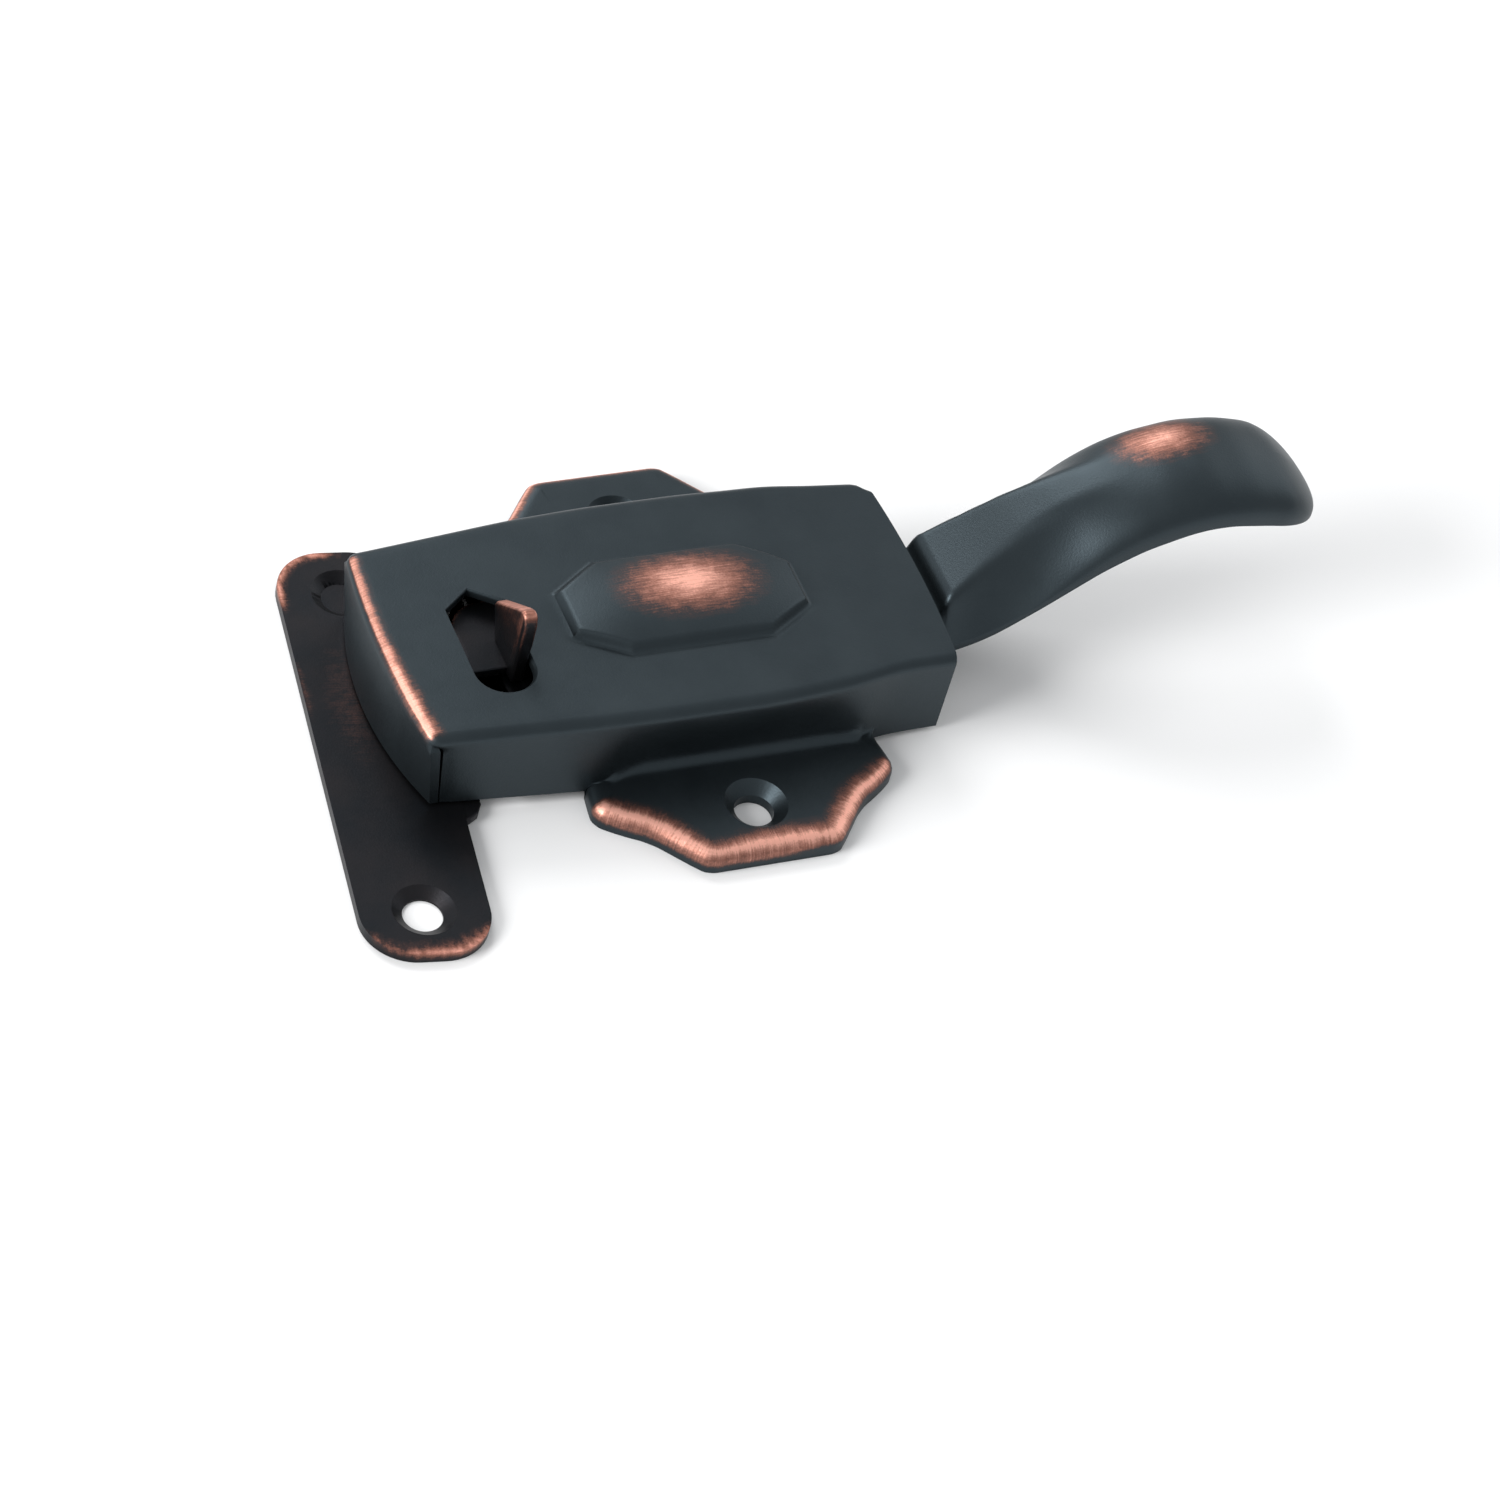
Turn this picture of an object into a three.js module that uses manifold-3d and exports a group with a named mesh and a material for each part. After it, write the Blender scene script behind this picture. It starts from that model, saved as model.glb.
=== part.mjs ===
// Surface latch for a cabinet door: a pressed cover over a spring bolt, a lifting handle, a lock slide and a strike.
// Millimetres. +X runs from the strike end to the handle, +Z away from the door.
// The origin is on the door face, midway between the two screw holes.
import * as THREE from "three";
import { mergeVertices } from "three/addons/utils/BufferGeometryUtils.js";
import Module from "manifold-3d";

const wasm = await Module();
wasm.setup();

// Cover
const SHEET = 1.0;
const COVER_LEFT = -32.8;
const COVER_LENGTH = 56.4;
const COVER_TOP = 10.6;
const COVER_HALF_WIDTH = 13.0;
const COVER_FOLD = 1.4;
const COVER_CROWN = 0.6;
const WALL_FOOT_LEFT = 1.5;
const WALL_FOOT_RIGHT = 0.7;
const HALF_WIDTHS = [
  [0, 12.7], [8, 13.3], [17, 14.0], [25, 14.3], [35, 14.3], [44, 13.5], [50, 12.3], [57, 12.1],
];
// Ears
const EAR_TOP = 2.3;
const EAR_BEVEL = 1.0;
const EAR_HALF_OUTLINE = [
  [14.7, 15.2], [15.0, 16.5], [14.4, 17.2], [13.0, 18.0], [11.6, 19.0], [10.1, 20.7],
  [8.6, 22.4], [7.4, 23.8], [6.2, 24.4],
];
const SCREW_Y = 19.5;
const SCREW_R = 2.0;
const COUNTERSINK_R = 3.2;
const COUNTERSINK_DEPTH = 1.2;
const SCREW_SEAT_R = 4.3;
// Boss over the spring
const BOSS_X = -2.2;
const BOSS_HEIGHT = 1.7;
const BOSS_BASE = { halfX: 12.5, halfY: 5.7, cutX: 5.0, cutY: 3.2 };
const BOSS_CREST = { halfX: 8.4, halfY: 2.9, cutX: 3.2, cutY: 1.6 };
// Thumb slot
const SLOT_LEFT = -26.0;
const SLOT_RIGHT = -20.0;
const SLOT_BACK = 5.4;
const SLOT_SHOULDER = 3.2;
const SLOT_FRONT = -8.2;
// Base plate
const BASE_LEFT = -22.3;
const BASE_RIGHT = 21.7;
const BASE_HALF_WIDTH = 10.4;
const GUIDE_STARTS = [-15.0, -8.6, 2.6];
const GUIDE_LENGTH = 5;
const GUIDE_INNER_Y = 7.0;
const GUIDE_LIP_Y = 5.7;
const GUIDE_LIP_Z = 3.0;
const GUIDE_TOP = 3.9;
// Bridge rivets
const BRIDGE_RIVET = { x: -20.3, y: 8.4, shank: 0.65, head: 1.0, seat: 2.3, bore: 0.95 };
// Handle pivot
const PIVOT_X = 20.2;
const PIVOT_Z = 4.4;
const PIN_R = 1.1;
const LUG_INNER_Y = 7.2;
const LUG_SHEET = 1.0;
const LUG_TOP = PIVOT_Z + 2.4;
const PIN_END = LUG_INNER_Y + LUG_SHEET + 1.6;
const PIN_GROOVE = { from: PIN_END - 1.1, width: 0.6, depth: 0.35 };
const CLIP_SHEET = 0.4;
const ARM_HALF = 1.5;
const ROLLER_X = PIVOT_X - 11.7;
const ROLLER_Z = PIVOT_Z + 2.6;
const ROLLER_R = 1.0;
// Bolt
const BOLT_LEFT = -21.6;
const BOLT_HALF_WIDTH = 6.5;
const BOLT_FLOOR = 1.4;
const BOLT_SHEET = 1.2;
const BOLT_TOP = BOLT_FLOOR + BOLT_SHEET;
const RAMP_FOOT_X = 5.9;
const RAMP_RISE = 4.0;
const RAMP_INNER_Y = 2.2;
const RAMP_OUTER_Y = 4.5;
const NOSE_LEFT = -24.0;
const NOSE_RIGHT = -18.8;
const NOSE_TOP = 4.6;
const NOSE_RIVET = { x: -20.2, y: 4, shank: 0.8, head: 1.5, bore: 1.1 };
// Spring and rod
const SPRING_Z = 6.3;
const SPRING_R = 2.5;
const SPRING_WIRE_R = 0.35;
const SPRING_TURNS = 6.5;
const BOLT_LUG_X = -12.8;
const ANCHOR_X = 0.3;
const ANCHOR_HALF = 3;
const LUG_THICK = 1.2;
const ROD_R = 0.9;
const ROD_HEAD = { r: 1.6, length: 0.9 };
const ROD_CLIP = { r: 2.1, length: 0.5 };
// Lock slide
const LEAF_FLOOR = 7.8;
const LEAF_SHEET = 1.0;
const TAB_LEFT = -21.6;
const TAB_THICK = 1.4;
const LEAF_OUTLINE = [
  [-25.4, -3.4], [-20.2, -3.4], [-20.2, 0.2], [-17.2, 0.2], [-17.2, 3.4], [-20.2, 4.7],
  [-21.1, 5.2], [-22.2, 5.5], [-23.3, 5.2], [-24.5, 4.4], [-25.4, 3.0],
];
const TAB_OUTLINE = [
  [-4.6, LEAF_FLOOR], [0.0, LEAF_FLOOR], [1.4, 10.6], [2.0, 11.8], [1.7, 12.8], [-3.1, 16.6],
  [-4.1, 16.8], [-4.6, 16.2],
];
const FINGER = { x0: -18.2, x1: -17.2, y0: 0.2, y1: 3.4, floor: 5.8 };
const BRIDGE_LEFT = -22.0;
const BRIDGE_RIGHT = -18.6;
const BRIDGE_HALF = 10.2;
const BRIDGE_SHEET = 0.8;
const BRIDGE_FOOT_Z = 1.3;
const BRIDGE_TOP = 7.5;
// Strike
const STRIKE_SHEET = 1.1;
const STRIKE_TURN = THREE.MathUtils.degToRad(-7.9);
const STRIKE_X = -33.7;
const STRIKE_Y = -4.7;
const STRIKE_HALF_WIDTH = 6.45;
const STRIKE_HALF_LENGTH = 26.1;
const STRIKE_HOLE_Y = 20.55;
const STRIKE_CORNER = 5.2;
const KEEPER_HALF = 6.0;
const KEEPER_TOP = 5.2;
const KEEPER_SHEET = 1.1;
const KEEPER_LIP = 2.4;
const KEEPER_FLANGE = [[-9.6, -1.1], [-9.6, 0.0], [-9.4, 0.5], [-8.7, 1.4], [-7.6, 1.9], [7.0, 1.9], [7.0, -1.1]];

// Piecewise linear value of a list of [position, value] pairs.
function along(pairs, x) {
  if (x <= pairs[0][0]) return pairs[0][1];
  for (let i = 1; i < pairs.length; i++) {
    const [x0, v0] = pairs[i - 1];
    const [x1, v1] = pairs[i];
    if (x <= x1) return v0 + ((v1 - v0) * (x - x0)) / (x1 - x0);
  }
  return pairs[pairs.length - 1][1];
}

// A closed three.js geometry as a solid for cutting and joining.
function solid(geometry) {
  const bare = geometry.clone();
  bare.deleteAttribute("normal");
  bare.deleteAttribute("uv");
  const merged = mergeVertices(bare, 1e-4);
  return new wasm.Manifold(
    new wasm.Mesh({
      numProp: 3,
      vertProperties: new Float32Array(merged.attributes.position.array),
      triVerts: new Uint32Array(merged.index.array),
    }),
  );
}

function block(x0, x1, y0, y1, z0, z1) {
  const geometry = new THREE.BoxGeometry(x1 - x0, y1 - y0, z1 - z0);
  geometry.translate((x0 + x1) / 2, (y0 + y1) / 2, (z0 + z1) / 2);
  return solid(geometry);
}

// A cylinder or cone along Z, radius r0 at z0 and r1 at z1.
function post(x, y, z0, z1, r0, r1 = r0, sides = 32) {
  const geometry = new THREE.CylinderGeometry(r1, r0, z1 - z0, sides);
  geometry.rotateX(Math.PI / 2);
  geometry.translate(x, y, (z0 + z1) / 2);
  return solid(geometry);
}

function axle(x, z, y0, y1, r, sides = 32) {
  const geometry = new THREE.CylinderGeometry(r, r, y1 - y0, sides);
  geometry.translate(x, (y0 + y1) / 2, z);
  return solid(geometry);
}

function rod(x0, x1, y, z, r, sides = 24) {
  const geometry = new THREE.CylinderGeometry(r, r, x1 - x0, sides);
  geometry.rotateZ(Math.PI / 2);
  geometry.translate((x0 + x1) / 2, y, z);
  return solid(geometry);
}

function shapeOf(points) {
  return new THREE.Shape(points.map(([x, y]) => new THREE.Vector2(x, y)));
}

// A flat plate of the given XY outline.
function plate(points, z0, z1) {
  const geometry = new THREE.ExtrudeGeometry(shapeOf(points), { depth: z1 - z0, bevelEnabled: false });
  geometry.translate(0, 0, z0);
  return solid(geometry);
}

// A side profile in X and Z, extruded across Y.
function profile(points, y0, y1) {
  const geometry = new THREE.ExtrudeGeometry(shapeOf(points), { depth: y1 - y0, bevelEnabled: false });
  geometry.rotateX(Math.PI / 2);
  geometry.translate(0, y1, 0);
  return solid(geometry);
}

// A box grid bent into shape: place gets the flat point and returns the bent one.
function bentBlock(xs, ys, zs, place) {
  const geometry = new THREE.BoxGeometry(1, 1, 1, xs.length - 1, ys.length - 1, zs.length - 1);
  geometry.deleteAttribute("normal");
  geometry.deleteAttribute("uv");
  const merged = mergeVertices(geometry, 1e-4);
  const p = merged.attributes.position;
  for (let i = 0; i < p.count; i++) {
    const at = (list, v) => list[Math.round((v + 0.5) * (list.length - 1))];
    p.setXYZ(i, ...place(at(xs, p.getX(i)), at(ys, p.getY(i)), at(zs, p.getZ(i))));
  }
  return solid(merged);
}

// Moves a point of a box near a rounded edge or corner onto the rounding.
function rounded(p, low, high, r) {
  const core = p.map((v, i) => Math.min(Math.max(v, low[i] + r), high[i] - r));
  const d = p.map((v, i) => v - core[i]);
  const length = Math.hypot(...d);
  if (length === 0) return p;
  const reach = Math.max(...d.map(Math.abs));
  return core.map((v, i) => v + (d[i] * reach) / length);
}

function steps(from, to, count) {
  return Array.from({ length: count + 1 }, (_, i) => from + ((to - from) * i) / count);
}

// Steps that crowd together inside the rounding at one or both ends.
function edgeSteps(low, high, r, middle, lowRound = true, highRound = true) {
  const bend = [0, 0.3, 0.65, 1].map((k) => k * r);
  const start = lowRound ? bend.map((b) => low + b) : [low];
  const end = highRound ? bend.map((b) => high - b).reverse() : [high];
  const inner = steps(start.at(-1), end[0], middle).slice(1, -1);
  return [...start, ...inner, ...end];
}

const FAR = 50;

// The cover's own curves: barrel plan, crowned top, bowed end flap and tapering wall foot.
function coverPlace(x, y, z) {
  const foot = THREE.MathUtils.lerp(WALL_FOOT_LEFT, WALL_FOOT_RIGHT, x / COVER_LENGTH);
  const depth = THREE.MathUtils.clamp((COVER_TOP - z) / COVER_TOP, 0, 1);
  const across = y / COVER_HALF_WIDTH;
  const bow = 1 - across * across;
  const endPull = Math.max(0, 1 - x / 14) ** 2;
  const flap = (-0.4 + 1.5 * depth - (0.8 + 1.6 * depth) * bow) * endPull;
  const mouth = -0.6 * across * across * Math.max(0, (x - 40) / 16);
  const crown = COVER_CROWN * Math.sin(Math.PI * THREE.MathUtils.clamp(x / COVER_LENGTH, 0, 1));
  const height = (z * (COVER_TOP - foot)) / COVER_TOP + foot;
  return [
    COVER_LEFT + x + flap + mouth,
    across * along(HALF_WIDTHS, x),
    height + (crown * z) / COVER_TOP,
  ];
}

function coverOuter() {
  const low = [0, -COVER_HALF_WIDTH, -FAR];
  const high = [COVER_LENGTH + FAR, COVER_HALF_WIDTH, COVER_TOP];
  return bentBlock(
    edgeSteps(0, COVER_LENGTH, COVER_FOLD, 11, true, false),
    edgeSteps(-COVER_HALF_WIDTH, COVER_HALF_WIDTH, COVER_FOLD, 6),
    edgeSteps(0, COVER_TOP, COVER_FOLD, 2, false, true),
    (x, y, z) => coverPlace(...rounded([x, y, z], low, high, COVER_FOLD)),
  );
}

function coverInner() {
  const half = COVER_HALF_WIDTH - SHEET;
  const top = COVER_TOP - SHEET;
  const fold = COVER_FOLD - 0.8;
  const low = [SHEET, -half, -FAR];
  const high = [COVER_LENGTH + FAR, half, top];
  return bentBlock(
    edgeSteps(SHEET, COVER_LENGTH + 2, fold, 11, true, false),
    edgeSteps(-half, half, fold, 6),
    edgeSteps(-3, top, fold, 2, false, true),
    (x, y, z) => coverPlace(...rounded([x, y, z], low, high, fold)),
  );
}

function coverTopAt(x) {
  return COVER_TOP + COVER_CROWN * Math.sin((Math.PI * (x - COVER_LEFT)) / COVER_LENGTH);
}

// An octagon of the boss at height z.
function bossRing({ halfX, halfY, cutX, cutY }, z) {
  return [
    [halfX, cutY - halfY], [halfX, halfY - cutY], [halfX - cutX, halfY], [cutX - halfX, halfY],
    [-halfX, halfY - cutY], [-halfX, cutY - halfY], [cutX - halfX, -halfY], [halfX - cutX, -halfY],
  ].map(([x, y]) => [BOSS_X + x, y, z]);
}

// A closed solid through rings of equal point count, lowest ring first.
function loft(rings) {
  const points = rings.flat();
  const n = rings[0].length;
  const faces = [];
  rings.slice(1).forEach((_, k) => {
    for (let i = 0; i < n; i++) {
      const a = k * n + i;
      const b = k * n + ((i + 1) % n);
      faces.push(a, b, b + n, a, b + n, a + n);
    }
  });
  for (let i = 1; i < n - 1; i++) {
    const last = (rings.length - 1) * n;
    faces.push(0, i + 1, i, last, last + i, last + i + 1);
  }
  const geometry = new THREE.BufferGeometry();
  geometry.setAttribute("position", new THREE.Float32BufferAttribute(points.flat(), 3));
  geometry.setIndex(faces);
  return solid(geometry);
}

function boss(sink) {
  const top = coverTopAt(BOSS_X) + BOSS_HEIGHT - sink;
  const shrink = ({ halfX, halfY, cutX, cutY }) => ({
    halfX: halfX - sink, halfY: halfY - sink, cutX: cutX * 0.9, cutY: cutY * 0.9,
  });
  const base = sink ? shrink(BOSS_BASE) : BOSS_BASE;
  const crest = sink ? shrink(BOSS_CREST) : BOSS_CREST;
  return loft([
    bossRing(base, COVER_TOP - 2 * SHEET),
    bossRing(base, COVER_TOP + 0.25 - sink),
    bossRing(crest, top),
  ]);
}

function mirrorOutline(half) {
  return [...half, ...half.map(([x, y]) => [-x, y]).reverse()];
}

function earOutline(side) {
  const points = mirrorOutline(EAR_HALF_OUTLINE.map(([x, y]) => [x, y * side]));
  const root = 10.5 * side;
  points.push([-14.6, root], [14.6, root]);
  return points;
}

function earBody(side) {
  const depth = 4;
  const geometry = new THREE.ExtrudeGeometry(shapeOf(earOutline(side)), {
    depth,
    bevelThickness: EAR_BEVEL,
    bevelSize: EAR_BEVEL,
    bevelSegments: 3,
  });
  geometry.translate(0, 0, EAR_TOP - EAR_BEVEL - depth);
  return solid(geometry).intersect(block(-FAR, FAR, -FAR, FAR, 0, EAR_TOP + 1));
}

function earPocket(side) {
  const y = SCREW_Y * side;
  return plate(earOutline(side), -1, EAR_TOP - SHEET).subtract(post(0, y, -2, EAR_TOP, SCREW_SEAT_R));
}

function screwHole(x, y, top, r, sink, depth) {
  return post(x, y, -1, top + 1, r).add(post(x, y, top - depth, top + 0.01, r, sink));
}

function slotCut() {
  const middle = (SLOT_LEFT + SLOT_RIGHT) / 2;
  const r = (SLOT_RIGHT - SLOT_LEFT) / 2;
  const round = steps(0, Math.PI, 10).map((a) => [
    middle - r * Math.cos(a),
    SLOT_FRONT + r - r * Math.sin(a),
  ]);
  const outline = [...round, [SLOT_RIGHT, SLOT_SHOULDER], [middle, SLOT_BACK], [SLOT_LEFT, SLOT_SHOULDER]];
  return plate(outline, COVER_TOP - 2.5, COVER_TOP + 2);
}

// The open corner between the end flap and a side wall.
function cornerSlit(side) {
  const width = 0.45;
  const slope = 1.1;
  const x = COVER_LEFT + SHEET - 0.35;
  const leg = [
    [x, COVER_TOP - 1.6], [x + width, COVER_TOP - 1.6], [x + width + slope, -1], [x + slope, -1],
  ];
  const edges = [11.2 * side, 16 * side].sort((a, b) => a - b);
  return profile(leg, ...edges);
}

function coverShape() {
  let shell = coverOuter().add(boss(0));
  let hollow = coverInner().add(boss(SHEET));
  for (const side of [-1, 1]) {
    shell = shell.add(earBody(side));
    hollow = hollow.add(earPocket(side));
  }
  shell = shell.subtract(hollow).subtract(slotCut());
  for (const side of [-1, 1]) {
    shell = shell.subtract(cornerSlit(side));
    shell = shell.subtract(
      screwHole(0, SCREW_Y * side, EAR_TOP, SCREW_R, COUNTERSINK_R, COUNTERSINK_DEPTH),
    );
  }
  return shell;
}

function mirroredSpan(a, b, side) {
  return [a * side, b * side].sort((p, q) => p - q);
}

function rivetBores(body, rivet) {
  return [-1, 1].reduce(
    (left, side) => left.subtract(post(rivet.x, rivet.y * side, -1, FAR, rivet.bore, rivet.bore, 16)),
    body,
  );
}

// The floor of the latch: guides for the bolt, lugs for the handle pin and the spring's anchor.
function basePlate() {
  const outer = GUIDE_INNER_Y + SHEET;
  let body = block(BASE_LEFT, BASE_RIGHT, -BASE_HALF_WIDTH, BASE_HALF_WIDTH, 0, SHEET);
  body = rivetBores(body, BRIDGE_RIVET);
  body = body.add(
    block(ANCHOR_X, ANCHOR_X + LUG_THICK, -ANCHOR_HALF, ANCHOR_HALF, SHEET / 2, SPRING_Z + 2.2),
  );
  for (const side of [-1, 1]) {
    for (const x of GUIDE_STARTS) {
      const end = x + GUIDE_LENGTH;
      body = body.add(block(x, end, ...mirroredSpan(GUIDE_INNER_Y, outer, side), SHEET / 2, GUIDE_TOP));
      body = body.add(block(x, end, ...mirroredSpan(GUIDE_LIP_Y, outer, side), GUIDE_LIP_Z, GUIDE_TOP));
    }
    const lug = mirroredSpan(LUG_INNER_Y, LUG_INNER_Y + LUG_SHEET, side);
    body = body.add(block(PIVOT_X - 2.8, BASE_RIGHT, ...lug, SHEET / 2, LUG_TOP));
  }
  body = body.subtract(axle(PIVOT_X, PIVOT_Z, -FAR, FAR, PIN_R + 0.3));
  return body.subtract(rod(ANCHOR_X - 1, ANCHOR_X + 3, 0, SPRING_Z, ROD_R + 0.3));
}

function pinShape() {
  let pin = axle(PIVOT_X, PIVOT_Z, -PIN_END, PIN_END, PIN_R);
  for (const side of [-1, 1]) {
    const edges = mirroredSpan(PIN_GROOVE.from, PIN_GROOVE.from + PIN_GROOVE.width, side);
    const ring = axle(PIVOT_X, PIVOT_Z, ...edges, PIN_R + 1).subtract(
      axle(PIVOT_X, PIVOT_Z, -FAR, FAR, PIN_R - PIN_GROOVE.depth),
    );
    pin = pin.subtract(ring);
  }
  return pin;
}

// The spring clip in a groove of the handle pin, open downwards.
function clipShape(side) {
  const start = PIN_GROOVE.from + (PIN_GROOVE.width - CLIP_SHEET) / 2;
  const edges = mirroredSpan(start, start + CLIP_SHEET, side);
  const ring = axle(PIVOT_X, PIVOT_Z, ...edges, PIN_R + 1.1).subtract(
    axle(PIVOT_X, PIVOT_Z, -FAR, FAR, PIN_R - 0.2),
  );
  return ring.subtract(block(PIVOT_X - 0.9, PIVOT_X + 0.9, -FAR, FAR, 0, PIVOT_Z));
}

function boltPlate() {
  const ramp = [
    [RAMP_FOOT_X - 0.6, BOLT_FLOOR], [RAMP_FOOT_X + 0.5, BOLT_FLOOR],
    [RAMP_FOOT_X + RAMP_RISE + 0.85, BOLT_TOP + RAMP_RISE - 0.85],
    [RAMP_FOOT_X + RAMP_RISE, BOLT_TOP + RAMP_RISE], [RAMP_FOOT_X, BOLT_TOP], [RAMP_FOOT_X - 0.6, BOLT_TOP],
  ];
  let body = block(BOLT_LEFT, RAMP_FOOT_X, -BOLT_HALF_WIDTH, BOLT_HALF_WIDTH, BOLT_FLOOR, BOLT_TOP);
  body = body.add(profile(ramp, -RAMP_OUTER_Y, RAMP_OUTER_Y));
  body = body.add(block(BOLT_LUG_X, BOLT_LUG_X + LUG_THICK, -3.2, 3.2, BOLT_FLOOR + 0.5, SPRING_Z + 2.4));
  body = body.subtract(block(RAMP_FOOT_X - 2.8, FAR, -RAMP_INNER_Y, RAMP_INNER_Y, 0, FAR));
  body = body.subtract(block(ANCHOR_X - 3.8, ANCHOR_X + LUG_THICK + 0.4, -3.5, 3.5, 0, BOLT_TOP + 0.01));
  body = rivetBores(body, NOSE_RIVET);
  return body.subtract(rod(BOLT_LUG_X - 1, BOLT_LUG_X + 3, 0, SPRING_Z, ROD_R + 0.4));
}

function noseShape() {
  const side = [
    [NOSE_LEFT, NOSE_TOP], [NOSE_LEFT, NOSE_TOP - 1.2], [NOSE_LEFT + 2.0, 1.7],
    [NOSE_LEFT + 2.1, BOLT_TOP + 0.3], [NOSE_RIGHT, BOLT_TOP + 0.3], [NOSE_RIGHT, NOSE_TOP],
  ].reverse();
  return rivetBores(profile(side, -BOLT_HALF_WIDTH, BOLT_HALF_WIDTH), NOSE_RIVET);
}

// A rivet from its foot at z0 to the seat of its low domed head at z1.
function rivet({ x, y, shank, head }, side, z0, z1) {
  return post(x, y * side, z0, z1 + 0.1, shank, shank, 16)
    .add(post(x, y * side, z1, z1 + 0.35, head, head, 16))
    .add(post(x, y * side, z1 + 0.3, z1 + 0.6, head, head * 0.6, 16));
}

class Coil extends THREE.Curve {
  constructor(from, to, turns) {
    super();
    Object.assign(this, { from, to, turns });
  }
  getPoint(t, target = new THREE.Vector3()) {
    const angle = 2 * Math.PI * this.turns * t;
    const x = THREE.MathUtils.lerp(this.from, this.to, t);
    return target.set(x, SPRING_R * Math.cos(angle), SPRING_Z + SPRING_R * Math.sin(angle));
  }
}

function springShape() {
  const from = BOLT_LUG_X + LUG_THICK + SPRING_WIRE_R + 0.3;
  const to = ANCHOR_X - SPRING_WIRE_R - 0.3;
  const wire = new THREE.Shape();
  wire.absarc(0, 0, SPRING_WIRE_R, 0, 2 * Math.PI, false);
  const geometry = new THREE.ExtrudeGeometry(wire, {
    steps: 91,
    curveSegments: 4,
    extrudePath: new Coil(from, to, SPRING_TURNS),
  });
  return solid(geometry);
}

function rodShape() {
  const head = ANCHOR_X + LUG_THICK + 0.3;
  const shank = rod(BOLT_LUG_X - 2.6, head + 0.4, 0, SPRING_Z, ROD_R);
  return shank.add(rod(head, head + ROD_HEAD.length, 0, SPRING_Z, ROD_HEAD.r));
}

function rodClip() {
  const x = BOLT_LUG_X - 1.6;
  return rod(x, x + ROD_CLIP.length, 0, SPRING_Z, ROD_CLIP.r).subtract(
    rod(x - 1, x + 1, 0, SPRING_Z, ROD_R + 0.3),
  );
}

// The leaf seen in the thumb slot, the leaning thumb tab bent up from it and the finger bent down.
function lockSlide() {
  const top = LEAF_FLOOR + LEAF_SHEET;
  const tab = new THREE.ExtrudeGeometry(shapeOf(TAB_OUTLINE), { depth: TAB_THICK, bevelEnabled: false });
  tab.rotateZ(Math.PI / 2);
  tab.rotateY(Math.PI / 2);
  tab.translate(TAB_LEFT, 0, 0);
  const finger = block(FINGER.x0, FINGER.x1, FINGER.y0, FINGER.y1, FINGER.floor, top);
  return plate(LEAF_OUTLINE, LEAF_FLOOR, top).add(solid(tab)).add(finger);
}

// The bridge over the bolt nose that carries the lock slide.
function lockBridge() {
  const [x0, x1] = [BRIDGE_LEFT, BRIDGE_RIGHT];
  let body = block(x0, x1, -BRIDGE_HALF, BRIDGE_HALF, BRIDGE_TOP - BRIDGE_SHEET, BRIDGE_TOP);
  for (const side of [-1, 1]) {
    const leg = mirroredSpan(BRIDGE_HALF - BRIDGE_SHEET, BRIDGE_HALF, side);
    const foot = mirroredSpan(BRIDGE_HALF - 2.7, BRIDGE_HALF, side);
    body = body.add(block(x0, x1, ...leg, BRIDGE_FOOT_Z, BRIDGE_TOP));
    body = body.add(block(x0, x1, ...foot, BRIDGE_FOOT_Z, BRIDGE_FOOT_Z + BRIDGE_SHEET));
    body = body.subtract(
      post(BRIDGE_RIVET.x, BRIDGE_RIVET.y * side, 0, BRIDGE_RIVET.seat, BRIDGE_RIVET.bore, BRIDGE_RIVET.bore, 16),
    );
  }
  return body;
}

// Handle
const HANDLE_SHEET = 1.1;
const HANDLE_FROM = 50.4;
const HANDLE_TO = 99.6;
const HANDLE_EDGE = [
  [50, 7.5], [53, 7.8], [56, 8.2], [57.4, 8.6], [59.5, 9.4], [62.5, 10.9], [67.7, 14.0], [72, 16.5],
  [76, 18.5], [80.4, 20.2], [84.8, 21.1], [89.6, 20.8], [94.3, 19.7], [97, 18.5], [98.4, 17.6], [99.6, 16.6],
];
const HANDLE_RIM = [
  [50, 2.8], [53, 2.8], [56, 3.6], [59.9, 4.8], [61.9, 5.6], [63.8, 6.7], [67.6, 9.6], [73.4, 14.2],
  [77.5, 16.6], [81.9, 18.0], [84.2, 18.4], [87, 18.4], [91.3, 17.6], [94, 17.0], [96.4, 16.3], [99.6, 14.9],
];
const HANDLE_WIDTH = [
  [50, 5.8], [57, 6.0], [68, 6.6], [78, 6.9], [88, 6.9], [92, 6.7], [95, 6.0], [97, 5.0], [98.4, 3.8], [99.6, 2.0],
];
const HANDLE_CROWN = [[50, 0.1], [62, 0.2], [76, 0.8], [86, 1.2], [94, 1.1], [99.6, 0.4]];

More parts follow.
